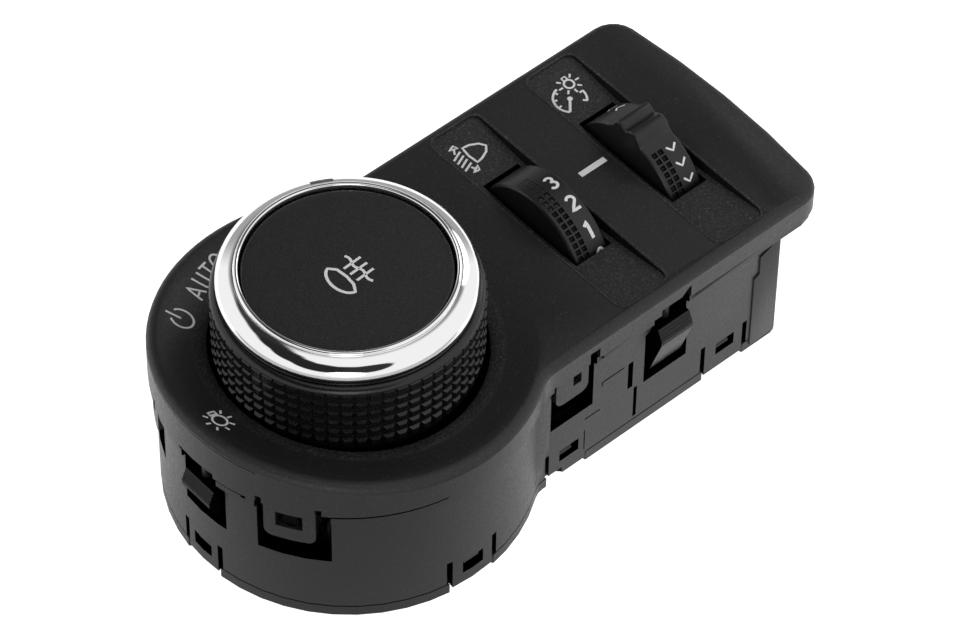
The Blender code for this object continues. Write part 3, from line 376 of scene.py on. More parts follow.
def latchTone(centre, normal):
    # painted shade on the latches: cheeks and ledges are painted unlit, the ribbed nose and its steps painted
    # darker, and the ramp takes the skirt's finish (tone 1); None away from a latch
    x, y, z = centre / mm
    height = z - faceHeight
    zone = latchZone
    for (headX, headY), (outX, outY) in latchHeads:
        along = abs((x - headX) * outY - (y - headY) * outX)
        outward = (x - headX) * outX + (y - headY) * outY
        if along > zone["halfLength"] or not between(outward, zone["outward"]):
            continue
        if not zone["bottom"] < height < rise(x) - zone["belowRise"]:
            continue
        across = abs(normal.x * outY - normal.y * outX)
        facing = normal.x * outX + normal.y * outY
        if across > zone["cheek"] or normal.z > zone["ledge"] or facing < zone["facing"]:
            return toneOf["unlit"]
        if outward > zone["noseOut"] and between(height, zone["noseHeights"]):
            return toneOf["step"] if normal.z > zone["step"] else toneOf["nose"]
        return toneOf["ramp"]
    return None


def roundShading(piece):
    # long faces on the turned walls get the true round shading
    mesh = piece.data
    normals = [corner.vector.copy() for corner in mesh.corner_normals]
    for face in mesh.polygons:
        if abs(face.normal.z) > roundWall["tilt"]:
            continue
        reach = [mesh.vertices[i].co.xy.length / mm for i in face.vertices]
        if max(reach) - min(reach) > roundWall["spread"] or reach[0] < roundWall["radius"]:
            continue
        if abs(face.center.xy.normalized().dot(face.normal.xy)) < roundWall["radial"]:
            continue
        for loop in face.loop_indices:
            place = mesh.vertices[mesh.loops[loop].vertex_index].co
            outward = Vector((place.x, place.y, 0.0)).normalized()
            normals[loop] = outward if outward.dot(face.normal) > 0 else -outward
    mesh.normals_split_custom_set(normals)


def paintTones(piece, node):
    # the panel's skirt has the housing's finish and its scoops are grainier; painted shade darkens inner
    # faces, the pegs, the screens, the latches and the scoop walls
    mesh = piece.data
    tones = mesh.attributes.new("tone", "FLOAT", "FACE")
    grits = mesh.attributes.new("grit", "FLOAT", "FACE")
    zone = toneZone
    for face in mesh.polygons:
        x, y, z = face.center / mm
        height = z - faceHeight
        inner = depthInside(face.center)
        tilt = abs(face.normal.z)
        if node == "housing":
            peg = inner < zone["pegInner"] and x < 0 and between(height, zone["pegHeights"])
            screen = (x < zone["screenX"] and between(inner, zone["screenInner"])
                      and between(height, zone["screenHeights"])
                      and abs(abs(y) - zone["screenY"]) < zone["screenHalf"])
            # painted shade: faces inside the housing are painted unlit, the screens a little less, and the
            # pegs nearly unlit
            if inner > zone["insideFrom"] and height > zone["insideAbove"]:
                kind = "screen" if screen else "unlit"
            else:
                kind = "peg" if peg else "plain"
            tones.data[face.index].value = toneOf[kind]
        if node != "fascia":
            continue
        outerWall = (tilt < zone["wallTilt"] and height < rise(x) - zone["skirtBelow"]
                     and inner < zone["wallDepth"])
        buried = height < rise(x) - zone["buriedBelow"] and inner > zone["wallDepth"]
        onLatch = latchTone(face.center, face.normal)
        inScoop = (min(abs(x - centre) for centre in scoopCentres) < zone["scoopHalfWidth"]
                   and abs(y - scoopMiddle) < zone["scoopHalfLength"])
        scoopWall = inScoop and tilt < zone["scoopTilt"] and height > zone["scoopAbove"]
        # painted shade: buried faces are painted unlit and the scoop walls painted darker
        kind = "skirt" if outerWall else "unlit" if buried else "scoopWall" if scoopWall else "plain"
        tones.data[face.index].value = toneOf[kind] if onLatch is None else onLatch
        if face.normal.z > zone["floorTilt"] and height < zone["floorBelow"] and x > zone["floorFrom"]:
            face.use_smooth = False
            grits.data[face.index].value = 1.0


mouldingPieces = {}
for node, look in mouldings.items():
    piece = pieceFrom(node + "_moulding", mergedCopy(node), materials[look], 32.0)
    roundShading(piece)
    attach(piece, "root")
    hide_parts(node)
    paintTones(piece, node)
    mouldingPieces[node] = piece
print("mouldings ready")


# Slits, seams and plates on the side walls, the same on both long sides; the slits and seams are strips of
# painted shade

wallMarks = {
    "wallY": housingWall["sideY"], "roundRadius": 34.87, "sunk": 0.3, "proud": 0.06,
    "along": [(35.4, 47.6, -7.45, 0.12), (56.8, 66.8, -7.5, 0.16), (67.4, 79.6, -7.5, 0.1),
              (36.0, 41.1, -15.45, 0.14), (31.9, 35.6, -22.6, 0.12)],
    "upright": [(35.9, -15.4, -16.4, 0.14), (32.0, -25.8, -31.0, 0.12), (56.9, -7.4, -8.5, 0.4)],
    "round": [(-171.5, -161.2, -6.08, 0.36), (-162.6, -161.2, -6.4, 0.5), (-137.0, -101.0, -6.05, 0.4)],
    "plate": [(72.75, -33.4), (72.75, -15.2), (74.0, -14.4), (74.0, -9.9), (77.9, -8.3), (78.9, -8.3),
              (78.9, -33.4)],
    "plateSunk": 0.2, "plateProud": 0.3, "plateBevel": 0.12,
}


def addBlock(bm, low, high):
    made = bmesh.ops.create_cube(bm, size=1.0)["verts"]
    size = [b - a for a, b in zip(low, high)]
    bmesh.ops.scale(bm, verts=made, vec=[s * mm for s in size])
    middle = Vector([(a + b) / 2 for a, b in zip(low, high)]) + Vector((0.0, 0.0, faceHeight))
    bmesh.ops.translate(bm, verts=made, vec=middle * mm)


def addRoundStrip(bm, start, end, z, tall):
    # strip round the turned wall between two angles
    inner = wallMarks["roundRadius"] - wallMarks["sunk"]
    outer = wallMarks["roundRadius"] + wallMarks["proud"]
    corners = [(inner, z - tall / 2), (outer, z - tall / 2), (outer, z + tall / 2), (inner, z + tall / 2)]
    turn = Matrix.Rotation(math.radians(start), 3, "Z")
    verts = [bm.verts.new(turn @ Vector((r * mm, 0.0, (height + faceHeight) * mm))) for r, height in corners]
    edges = [bm.edges.new((first, second)) for first, second in zip(verts, verts[1:] + verts[:1])]
    bm.faces.new(verts)
    span = end - start
    spun = spin(bm, verts + edges, math.radians(span), max(3, int(abs(span) / 2)), False)
    bmesh.ops.contextual_create(bm, geom=onlyEdges(spun["geom_last"]))


slitBm = bmesh.new()
for side in (-1, 1):
    near = sorted(side * (wallMarks["wallY"] + out) for out in (-wallMarks["sunk"], wallMarks["proud"]))
    for start, end, z, tall in wallMarks["along"]:
        addBlock(slitBm, (start, near[0], z - tall / 2), (end, near[1], z + tall / 2))
    for x, high, low, wide in wallMarks["upright"]:
        addBlock(slitBm, (x - wide / 2, near[0], low), (x + wide / 2, near[1], high))
for start, end, z, tall in wallMarks["round"]:
    addRoundStrip(slitBm, start, end, z, tall)
    addRoundStrip(slitBm, -start, -end, z, tall)
bmesh.ops.recalc_face_normals(slitBm, faces=slitBm.faces)
slits = pieceFrom("wall_slits", slitBm, paintedSlitShade)
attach(slits, "root")

for side, name in ((-1, "lower"), (1, "upper")):
    plateBm = bmesh.new()
    back = side * (wallMarks["wallY"] - wallMarks["plateSunk"])
    verts = [plateBm.verts.new((x * mm, back * mm, (z + faceHeight) * mm)) for x, z in wallMarks["plate"]]
    face = plateBm.faces.new(verts)
    outer = onlyVerts(bmesh.ops.extrude_face_region(plateBm, geom=[face])["geom"])
    thick = wallMarks["plateSunk"] + wallMarks["plateProud"]
    bmesh.ops.translate(plateBm, verts=outer, vec=(0.0, side * thick * mm, 0.0))
    rim = [edge for edge in plateBm.edges if all(vert in outer for vert in edge.verts)]
    bmesh.ops.bevel(plateBm, geom=rim, offset=wallMarks["plateBevel"] * mm, segments=2, profile=0.5,
                    affect="EDGES", material=-1)
    bmesh.ops.recalc_face_normals(plateBm, faces=plateBm.faces)
    plate = pieceFrom("corner_plate_" + name, plateBm, materials["housing moulded black"])
    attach(plate, "root")

# round stems in the latch openings
latchTrim = {"radius": 0.85, "heights": (-10.0, -3.0), "endRise": 2.5, "back": 1.1, "aside": 0.3}
trimBm = bmesh.new()
for (headX, headY), (outX, outY) in latchHeads:
    turn = Matrix.Rotation(math.atan2(outY, outX), 3, "Z")
    low, high = latchTrim["heights"]
    high += latchTrim["endRise"] if outX else 0.0
    radius = latchTrim["radius"] * mm
    stem = bmesh.ops.create_cone(trimBm, cap_ends=True, segments=24, radius1=radius, radius2=radius,
                                 depth=(high - low) * mm)["verts"]
    middle = Vector((headX, headY, (high + low) / 2 + faceHeight))
    place = turn @ Vector((-latchTrim["back"], -latchTrim["aside"], 0.0)) + middle
    bmesh.ops.translate(trimBm, verts=stem, vec=place * mm)
trim = pieceFrom("latch_trim", trimBm, materials["housing moulded black"])
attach(trim, "root")
print("wall details ready")


# Knob

knob = {
    "columns": 62, "rows": 6, "pitch": 2.38, "low": -0.5, "baseRadius": 23.55, "topRise": 0.36,
    "risePower": 2.5, "tipRadius": 24.05, "groove": 0.14, "bevelSlope": 0.8, "slack": 0.1, "ringSteps": 192,
    "windowAngle": 62.2, "windowSpan": 11.2, "lensGap": 0.9, "notchRadii": (20.35, 26.0),
    "notchHeights": (16.75, 22.0), "lensRadii": (20.45, 22.6), "lensHeights": (16.85, 20.0),
}


def buildGrip():
    base = knob["baseRadius"]
    pitch = knob["pitch"]
    slack = knob["slack"]
    top = knob["low"] + knob["rows"] * pitch
    profile = [(20.7, 15.7), (22.2, 15.75), (22.45, 15.55), (22.45, 15.0), (22.6, 14.85), (22.95, 14.85),
               (23.5, 14.6), (23.9, 14.2), (24.0, 13.95), (23.95, top + 0.02)]
    for row in range(knob["rows"] + 1):
        share = 1.0 - row / knob["rows"]
        profile.append((base + knob["topRise"] * share ** knob["risePower"], top - pitch * row))
    profile += [(23.45, -1.6), (22.2, -1.7), (22.2, 6.2), (12.3, 6.2), (12.3, 8.2), (20.7, 8.2)]
    bm = spinRing(profile, knob["columns"])
    low = (knob["low"] + faceHeight) * mm
    high = (top + faceHeight) * mm
    rows = [[] for row in range(knob["rows"])]
    for face in bm.faces:
        centre = face.calc_center_median()
        onSide = between(centre.xy.length / mm, (base - slack, base + knob["topRise"] + slack))
        if onSide and low < centre.z < high:
            rows[int((centre.z - low) / (pitch * mm))].append(face)
    for cells in rows:
        height = knob["tipRadius"] * mm - cells[0].calc_center_median().xy.length
        inset(bm, cells, knob["groove"] * mm)
        inset(bm, cells, knob["bevelSlope"] * height, height)
    return pieceFrom("knurled_grip", bm, materials["knob grip black"], 28.0)


grip = buildGrip()
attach(grip, "knob")
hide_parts("knob_grip")

ringProfile = [(22.5, 16.0), (22.85, 16.08), (23.0, 16.35), (22.98, 16.7), (22.85, 17.08), (22.6, 17.48),
               (22.25, 17.88), (21.85, 18.24), (21.4, 18.55), (20.9, 18.82), (20.4, 19.02), (19.98, 19.14),
               (19.88, 19.06), (19.82, 19.12), (19.78, 19.32), (19.66, 19.52), (19.48, 19.64), (19.25, 19.7),
               (19.02, 19.64), (18.9, 19.5), (18.85, 19.3), (18.85, 12.6), (20.3, 12.6), (20.3, 16.0)]


def sectorBlock(name, span, radii, heights):
    # block between two radii, two heights and two angles about the window's, used to cut
    (near, far), (low, high) = radii, heights
    bm = newBmesh([(near, low), (far, low), (far, high), (near, high)])
    start = Matrix.Rotation(math.radians(knob["windowAngle"] - span / 2), 3, "Z")
    bmesh.ops.rotate(bm, verts=bm.verts, cent=(0, 0, 0), matrix=start)
    spin(bm, bm.verts[:] + bm.edges[:], math.radians(span), 8, False)
    bmesh.ops.holes_fill(bm, edges=[edge for edge in bm.edges if edge.is_boundary])
    bmesh.ops.recalc_face_normals(bm, faces=bm.faces)
    return pieceFrom(name, bm, chrome)


def cutWith(piece, cutter, operation="DIFFERENCE"):
    # apply a boolean and return the shape as a bmesh; both objects are removed
    modifier = piece.modifiers.new("cut", "BOOLEAN")
    modifier.operation = operation
    modifier.object = cutter
    mesh = meshOf(piece)
    bpy.data.objects.remove(cutter, do_unlink=True)
    bm = bmesh.new()
    bm.from_mesh(mesh)
    bpy.data.meshes.remove(mesh)
    bmesh.ops.remove_doubles(bm, verts=bm.verts, dist=weld)
    return bm


ringWhole = pieceFrom("ring_blank", spinRing(ringProfile, knob["ringSteps"]), chrome)
notch = sectorBlock("ring_notch", knob["windowSpan"], knob["notchRadii"], knob["notchHeights"])
ring = pieceFrom("bright_ring", cutWith(ringWhole, notch), chrome, 40.0)
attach(ring, "knob")
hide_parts("chrome_ring")

lensSpan = knob["windowSpan"] - knob["lensGap"]
window = sectorBlock("pointer_lens", lensSpan, knob["lensRadii"], knob["lensHeights"])
lensProfile = [(20.0, 16.8), (22.72, 16.8), (22.6, 17.3), (22.2, 17.75), (21.8, 18.12), (21.35, 18.44),
               (20.85, 18.72), (20.4, 18.9), (20.0, 19.0)]
lensBlank = pieceFrom("lens_blank", spinRing(lensProfile, knob["ringSteps"]), chrome)
lens = pieceFrom("pointer_lens", cutWith(window, lensBlank, "INTERSECT"), smoked, 40.0)
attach(lens, "knob")
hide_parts("pointer_window")

capProfile = [(0.0, 18.75), (17.9, 18.75), (18.25, 18.72), (18.4, 18.62), (18.48, 18.45), (18.5, 18.2),
              (18.5, 10.6), (17.2, 10.6), (17.2, 16.9), (0.0, 16.9)]
cap = pieceFrom("push_cap", spinRing(capProfile, 128, closed=False), materials["cap black"], 40.0)
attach(cap, "button")
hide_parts("fog_button")
print("knob ready")


# Thumbwheels

wheels = {
    "levelling": {"centre": (46.6, 0.1, 26.5), "radius": 13.5, "half": 3.7, "columns": 63, "turn": 3.07,
                  "low": -3.06, "pitch": 1.42, "arc": (-100.0, 21.0),
                  "shares": [(-100.0, -17.0, 1.0), (-17.0, 0.0, 0.5), (0.0, 21.0, 0.22)]},
    "dimmer": {"centre": (69.9, 0.1, 26.5), "radius": 12.95, "half": 3.8, "low": -2.98, "pitch": 1.44,
               "pitFrom": -21.35, "pitStep": 6.1, "pits": 10, "plainFrom": -180.0, "plainStep": 6.0,
               "plainMarks": 17, "upperRadius": 13.5, "upperFrom": 24.5, "upperStep": 5.8, "upperMarks": 27,
               "fade": (90.0, 60.0)},
    "pit": {"border": 0.17, "wall": 0.05, "depth": 0.5, "studInset": 0.08, "studSlope": 0.34,
            "studHeight": 0.42},
}
ridgeOutline = [(-3.55, 12.5), (-3.1, 12.85), (-2.75, 13.3), (-2.45, 13.8), (-2.1, 14.3), (-1.65, 14.68),
                (-1.1, 14.88), (-0.5, 14.9), (0.0, 14.75), (0.4, 14.45), (0.75, 14.18), (1.15, 14.08),
                (1.5, 14.16), (1.8, 14.42), (2.1, 14.72), (2.5, 14.92), (2.95, 14.96), (3.4, 14.8),
                (3.7, 14.45), (3.9, 14.0), (4.15, 13.55), (4.6, 13.15), (5.1, 12.85)]


def sinkPits(bm, cells, share=1.0):
    # square pits with a small stud in each
    pit = wheels["pit"]
    inset(bm, cells, pit["border"] * mm)
    inset(bm, cells, pit["wall"] * mm, -pit["depth"] * share * mm)
    inset(bm, cells, pit["studInset"] * mm)
    inset(bm, cells, pit["studSlope"] * mm, pit["studHeight"] * share * mm)


def layOnAxle(bm, wheel):
    bmesh.ops.rotate(bm, verts=bm.verts, cent=(0, 0, 0), matrix=Matrix.Rotation(math.radians(90), 3, "Y"))
    bmesh.ops.translate(bm, verts=bm.verts, vec=Vector(wheel["centre"]) * mm)


def bandFaces(bm, wheel):
    # faces in the two rows of cells, each with its angle round the wheel
    for face in bm.faces:
        centre = face.calc_center_median()
        if wheel["low"] * mm < centre.z < (wheel["low"] + 2 * wheel["pitch"]) * mm:
            yield math.degrees(math.atan2(centre.y, -centre.x)), face


def levellingWheel(wheel):
    # turned about Z at the origin, then laid along X at its centre
    radius = wheel["radius"]
    half = wheel["half"]
    low = wheel["low"]
    pitch = wheel["pitch"]
    profile = [(radius - 0.55, half), (radius - 0.2, half - 0.08), (radius, half - 0.35),
               (radius, low + 2 * pitch + 0.5), (radius, low + 2 * pitch), (radius, low + pitch),
               (radius, low), (radius - 0.1, -half + 0.25), (radius - 0.45, -half), (1.8, -half), (1.8, half)]
    bm = spinRing(profile, wheel["columns"], lift=0.0)
    turn = Matrix.Rotation(math.radians(wheel["turn"]), 3, "Z")
    bmesh.ops.rotate(bm, verts=bm.verts, cent=(0, 0, 0), matrix=turn)
    cells = []
    for angle, face in bandFaces(bm, wheel):
        onRim = all(abs(vert.co.xy.length - radius * mm) < rimTolerance for vert in face.verts)
        if onRim and between(angle, wheel["arc"]):
            cells.append((angle, face))
    for start, end, share in wheel["shares"]:
        sinkPits(bm, [face for angle, face in cells if start <= angle < end], share)
    layOnAxle(bm, wheel)
    return bm


def rimPoint(radius, degrees):
    angle = math.radians(degrees)
    return radius * math.sin(angle), radius * math.cos(angle)


def dimmerOutline(wheel):
    # once round the wheel seen along its axle, as (sideways, up) from the centre; pits lie between the marks
    marks = [wheel["pitFrom"] - wheel["pitStep"] * i for i in range(wheel["pits"] + 1)]
    angles = [wheel["plainFrom"] + wheel["plainStep"] * i for i in range(wheel["plainMarks"])] + marks[::-1]
    points = [rimPoint(wheel["radius"], angle) for angle in angles] + ridgeOutline
    fadeFrom, fadeSpan = wheel["fade"]
    upper = wheel["upperRadius"]
    for i in range(wheel["upperMarks"]):
        angle = wheel["upperFrom"] + wheel["upperStep"] * i
        share = min(max((angle - fadeFrom) / fadeSpan, 0.0), 1.0)
        points.append(rimPoint(upper + (wheel["radius"] - upper) * share, angle))
    return points


def dimmerWheel(wheel):
    # the outline is drawn out along the axle in steps, with rounded rims, then closed at both ends
    half = wheel["half"]
    low = wheel["low"]
    pitch = wheel["pitch"]
    steps = [(-half, 0.5), (-half + 0.1, 0.2), (-half + 0.35, 0.0), (low, 0.0), (low + pitch, 0.0),
             (low + 2 * pitch, 0.0), (half - 0.35, 0.0), (half - 0.1, 0.15), (half, 0.4)]
    bm = bmesh.new()
    loop = [bm.verts.new((-up * mm, side * mm, steps[0][0] * mm)) for side, up in dimmerOutline(wheel)]
    edges = [bm.edges.new((first, second)) for first, second in zip(loop, loop[1:] + loop[:1])]
    for step in steps[1:]:
        made = bmesh.ops.extrude_edge_only(bm, edges=edges)["geom"]
        edges = [edge for edge in onlyEdges(made) if edge.is_boundary]
        for vert in onlyVerts(made):
            vert.co.z = step[0] * mm
    for vert in bm.verts:
        z = vert.co.z / mm
        shrink = min(steps, key=lambda step: abs(step[0] - z))[1]
        vert.co.xy = vert.co.xy * (1.0 - shrink * mm / vert.co.xy.length)
    bmesh.ops.recalc_face_normals(bm, faces=bm.faces)
    pitTo = wheel["pitFrom"] - wheel["pitStep"] * wheel["pits"]
    cells = [face for angle, face in bandFaces(bm, wheel) if pitTo < angle < wheel["pitFrom"]]
    near = [edge for edge in bm.edges if edge.is_boundary and edge.verts[0].co.z < 0]
    caps = bmesh.ops.contextual_create(bm, geom=near)["faces"]
    far = [edge for edge in bm.edges if edge.is_boundary]
    caps += bmesh.ops.contextual_create(bm, geom=far)["faces"]
    bmesh.ops.recalc_face_normals(bm, faces=bm.faces)
    bmesh.ops.triangulate(bm, faces=caps)
    sinkPits(bm, cells)
    layOnAxle(bm, wheel)
    return bm


levelling = wheels["levelling"]
dimmer = wheels["dimmer"]
for body, bm in (("levelling", levellingWheel(levelling)), ("dimmer", dimmerWheel(dimmer))):
    wheelPiece = pieceFrom(body + "_thumbwheel", bm, materials["thumbwheel black"], 28.0)
    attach(wheelPiece, body)
    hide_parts(body + "_wheel")
print("thumbwheels ready")


# Signs and digits: flattened strokes laid on the surface below them

stroke = {"step": 0.6, "flat": 0.06, "lift": 0.012, "rayStart": 0.08}


def arcPoints(centre, radiusX, radiusY, start, end, step=12.0):
    count = max(3, int(abs(end - start) / step) + 2)
    points = []
    for i in range(count):
        angle = math.radians(start + (end - start) * i / (count - 1))
        points.append((centre[0] + radiusX * math.cos(angle), centre[1] + radiusY * math.sin(angle)))
    return points


def strokeMesh(strokes):
    # strokes of (points, width, closed) in millimetres become one flat mesh in the XY plane
    bm = bmesh.new()
    for points, width, closed in strokes:
        curve = bpy.data.curves.new("stroke", "CURVE")
        curve.dimensions = "3D"
        curve.bevel_depth = width / 2 * mm
        curve.bevel_resolution = 1
        curve.use_fill_caps = True
        dense = []
        pairs = list(zip(points, points[1:] + points[:1])) if closed else list(zip(points, points[1:]))
        for (x0, y0), (x1, y1) in pairs:
            parts = max(1, int(math.hypot(x1 - x0, y1 - y0) / stroke["step"]))
            dense += [(x0 + (x1 - x0) * i / parts, y0 + (y1 - y0) * i / parts) for i in range(parts)]
        if not closed:
            dense.append(points[-1])
        spline = curve.splines.new("POLY")
        spline.points.add(len(dense) - 1)
        for point, (x, y) in zip(spline.points, dense):
            point.co = (x * mm, y * mm, 0.0, 1.0)
        spline.use_cyclic_u = closed
        holder = bpy.data.objects.new("stroke", curve)
        bpy.context.scene.collection.objects.link(holder)
        mesh = meshOf(holder)
        bm.from_mesh(mesh)
        bpy.data.meshes.remove(mesh)
    bmesh.ops.scale(bm, verts=bm.verts, vec=(1.0, 1.0, stroke["flat"]))
    return bm


def layOnSurface(bm, tree):
    # each point drops to the surface under it and keeps its own small height
    for vert in bm.verts:
        hit = tree.ray_cast(Vector((vert.co.x, vert.co.y, stroke["rayStart"])), Vector((0, 0, -1)))
        if hit[0]:
            vert.co.z += hit[0].z + stroke["lift"] * mm


def wrapOnWheel(bm, wheel):
    # x stays, y becomes the way round the rim from the top, z the height above it
    centre = Vector(wheel["centre"]) * mm
    radius = wheel["radius"] * mm
    for vert in bm.verts:
        angle = vert.co.y / radius
        height = radius + stroke["lift"] * mm + vert.co.z
        vert.co.yz = (centre.y + height * math.sin(angle), centre.z + height * math.cos(angle))


def signPiece(name, bm, body):
    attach(pieceFrom(name, bm, printGrey, 60.0), body)


def treeOf(piece):
    bm = bmesh.new()
    bm.from_mesh(piece.data)
    tree = BVHTree.FromBMesh(bm)
    bm.free()
    return tree


def turned(points, angle, place):
    c = math.cos(math.radians(angle))
    s = math.sin(math.radians(angle))
    return [(place[0] + x * c - y * s, place[1] + x * s + y * c) for x, y in points]


def spoke(centre, degrees, radii):
    angle = math.radians(degrees)
    return [(centre[0] + r * math.cos(angle), centre[1] + r * math.sin(angle)) for r in radii]


fasciaTree = treeOf(mouldingPieces["fascia"])
capTree = treeOf(cap)


def printSign(name, strokes, tree=fasciaTree, body="root"):
    bm = strokeMesh(strokes)
    layOnSurface(bm, tree)
    signPiece(name, bm, body)


# rolled lips of the finger scoops
scoopLip = {"halfWidth": 5.9, "halfLength": 26.25, "corner": 2.0, "width": 0.5, "lean": 0.3, "lift": 0.06,
            "tall": 8.0, "grit": 1.3}
lipStrokes = []
for centre in scoopCentres:
    rim = []
    for signX, signY, start in ((1, 1, 0), (-1, 1, 90), (-1, -1, 180), (1, -1, 270)):
        cornerAt = (centre + signX * (scoopLip["halfWidth"] - scoopLip["corner"]),
                    scoopMiddle + signY * (scoopLip["halfLength"] - scoopLip["corner"]))
        rim += arcPoints(cornerAt, scoopLip["corner"], scoopLip["corner"], start, start + 90, 15)
    lipStrokes.append((rim, scoopLip["width"], True))
lipBm = strokeMesh(lipStrokes)
bmesh.ops.scale(lipBm, verts=lipBm.verts, vec=(1.0, 1.0, scoopLip["tall"]))
for vert in lipBm.verts:
    # each lip leans into its scoop
    centre = min(scoopCentres, key=lambda middle: abs(middle * mm - vert.co.x))
    overX = abs(vert.co.x / mm - centre) - scoopLip["halfWidth"] + scoopLip["corner"]
    overY = abs(vert.co.y / mm - scoopMiddle) - scoopLip["halfLength"] + scoopLip["corner"]
    outside = math.hypot(max(overX, 0.0), max(overY, 0.0)) + min(max(overX, overY), 0.0) - scoopLip["corner"]
    vert.co.z += (outside - scoopLip["width"] / 2) * scoopLip["lean"] * mm
bmesh.ops.translate(lipBm, verts=lipBm.verts, vec=(0.0, 0.0, (faceHeight + scoopLip["lift"]) * mm))
lip = pieceFrom("scoop_lips", lipBm, materials["panel satin black"], 60.0)
lipGrit = lip.data.attributes.new("grit", "FLOAT", "FACE")
lipGrit.data.foreach_set("value", [scoopLip["grit"]] * len(lip.data.polygons))
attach(lip, "root")

# rear fog lamp sign on the cap
lampLeft = arcPoints((-1.9, -1.1), 2.45, 3.65, 104, 262, 9)
fogStrokes = [(lampLeft + [(-1.35, -3.2), (-1.15, -1.1), (-1.4, 1.2)], 0.55, True)]
for yLeft in (0.57, -1.14, -2.9):
    fogStrokes.append(([(-0.38, yLeft), (3.54, yLeft + 0.17)], 0.5, False))
wave = [(1.6 + 0.28 * math.sin(math.tau * (2.7 - y) / 3.7), y) for y in [2.7 - 0.3 * i for i in range(26)]]
fogStrokes.append((wave, 0.5, False))
printSign("sign_rear_fog", fogStrokes, capTree, "button")

# index mark between the wheels
markBm = bmesh.new()
addBlock(markBm, (56.5, 1.67, -0.01), (62.6, 2.89, 0.03))
signPiece("index_mark", markBm, "root")

# levelling sign
levelStrokes = [
    ([(45.25, 21.6), (45.05, 19.6), (45.35, 17.5), (46.6, 17.7), (48.2, 18.4), (49.1, 19.45), (48.3, 20.6),
      (46.7, 21.4)], 0.45, True),
]
for ends in (((44.41, 21.23), (42.13, 20.3)), ((44.33, 20.19), (42.16, 19.29)),
             ((44.3, 19.17), (42.2, 18.28)), ((44.39, 18.11), (42.23, 17.27))):
    levelStrokes.append((list(ends), 0.42, False))
levelStrokes += [
    ([(42.93, 22.6), (44.22, 23.0), (44.6, 22.1)], 0.4, True),
    ([(43.95, 22.5), (43.2, 21.3)], 0.4, False),
    ([(44.5, 16.0), (44.9, 16.95), (43.2, 16.1)], 0.4, True),
    ([(43.7, 17.35), (44.1, 16.4)], 0.4, False),
]
printSign("sign_levelling", levelStrokes)

# instrument lighting sign
bulb = (70.55, 20.85)
gauge = (68.37, 18.15)
lightStrokes = [
    (arcPoints(bulb, 0.97, 0.97, 0, 340, 20), 0.42, True),
    ([(70.2, 21.9), (70.2, 22.65), (71.05, 22.65), (71.05, 21.9)], 0.36, False),
]
for i in range(8):
    if i != 2:
        lightStrokes.append((spoke(bulb, 45 * i, (1.5, 2.4)), 0.38, False))
lightStrokes.append((arcPoints(gauge, 3.15, 3.15, 99, 229), 0.45, False))
lightStrokes.append((arcPoints(gauge, 3.15, 3.15, 2, -47.5), 0.45, False))
for degrees in (117, 152, 187, 0, -45):
    lightStrokes.append((spoke(gauge, degrees, (3.2, 2.35)), 0.42, False))
lightStrokes.append(([(66.33, 15.83), gauge], 0.5, False))
lightStrokes.append((arcPoints(gauge, 0.25, 0.25, 0, 300, 60), 0.6, True))
printSign("sign_instrument_light", lightStrokes)

# AUTO and power signs on the dish
autoStrokes = [
    ([(-13.6, 23.71), (-14.3, 27.25), (-11.71, 24.84)], 0.42, False),
    ([(-13.6, 24.83), (-12.78, 25.5)], 0.38, False),
    ([(-12.21, 28.5), (-11.1, 26.0), (-10.95, 25.7), (-10.4, 25.45), (-9.8, 25.75), (-9.6, 26.3),
      (-9.65, 26.75), (-10.63, 29.16)], 0.42, False),
    ([(-9.74, 29.54), (-7.7, 30.12)], 0.42, False),
    ([(-8.72, 29.8), (-7.73, 26.6)], 0.42, False),
    (turned(arcPoints((0, 0), 1.15, 1.65, 0, 340, 20), 11.0, place=(-5.65, 29.15)), 0.42, True),
]
powerStrokes = [
    (turned(arcPoints((0, 0), 1.9, 2.25, 90, -205, 15), 0.0, place=(-19.55, 22.0)), 0.42, False),
    ([(-21.1, 24.64), (-19.65, 22.15)], 0.42, False),
]
printSign("sign_auto", autoStrokes)
printSign("sign_power", powerStrokes)

# exterior lights sign at the left of the dish
rayEnds = [((-32.08, 0.83), (-31.5, 0.1)), ((-33.0, -1.23), (-32.05, -1.32)),
           ((-31.7, -2.65), (-32.25, -3.34)), ((-30.4, -3.19), (-30.13, -4.02)),
           ((-28.93, -2.49), (-28.3, -3.27)), ((-28.37, -1.2), (-27.47, -1.3)),
           ((-28.2, 0.82), (-28.74, 0.15))]
masterStrokes = [(arcPoints((-30.05, -1.28), 1.27, 1.38, 0, 340, 20), 0.42, True),
                 ([(-30.75, 0.2), (-30.8, 1.12), (-29.4, 1.14), (-29.42, 0.1)], 0.4, False),
                 ([(-30.8, 0.4), (-29.4, 0.4)], 0.4, False)]
masterStrokes += [(list(ends), 0.4, False) for ends in rayEnds]
printSign("sign_lights", masterStrokes)

# digits on the levelling wheel
digitStrokes = {
    "3": [(arcPoints((0, 0.75), 0.68, 0.66, 150, -80, 20) + arcPoints((0, -0.68), 0.78, 0.74, 82, -155, 20),
           0.58, False)],
    "2": [(arcPoints((0.05, 0.6), 0.8, 0.78, 160, -20, 20) + [(-0.85, -1.35), (0.95, -1.35)], 0.58, False)],
    "1": [([(-0.62, 0.95), (0.12, 1.6), (0.12, -1.62)], 0.7, False)],
    "0": [(arcPoints((0, 0), 0.75, 1.4, 0, 345, 15), 0.58, True)],
}
digitPlaces = {"3": (48.2, 3.9), "2": (48.35, -20.0), "1": (48.2, -44.4), "0": (48.6, -67.2)}
for digit, strokes in digitStrokes.items():
    digitBm = strokeMesh(strokes)
    x, angle = digitPlaces[digit]
    middle = math.radians(angle) * levelling["radius"]
    bmesh.ops.translate(digitBm, verts=digitBm.verts, vec=(x * mm, middle * mm, 0.0))
    wrapOnWheel(digitBm, levelling)
    signPiece("digit_" + digit, digitBm, "levelling")

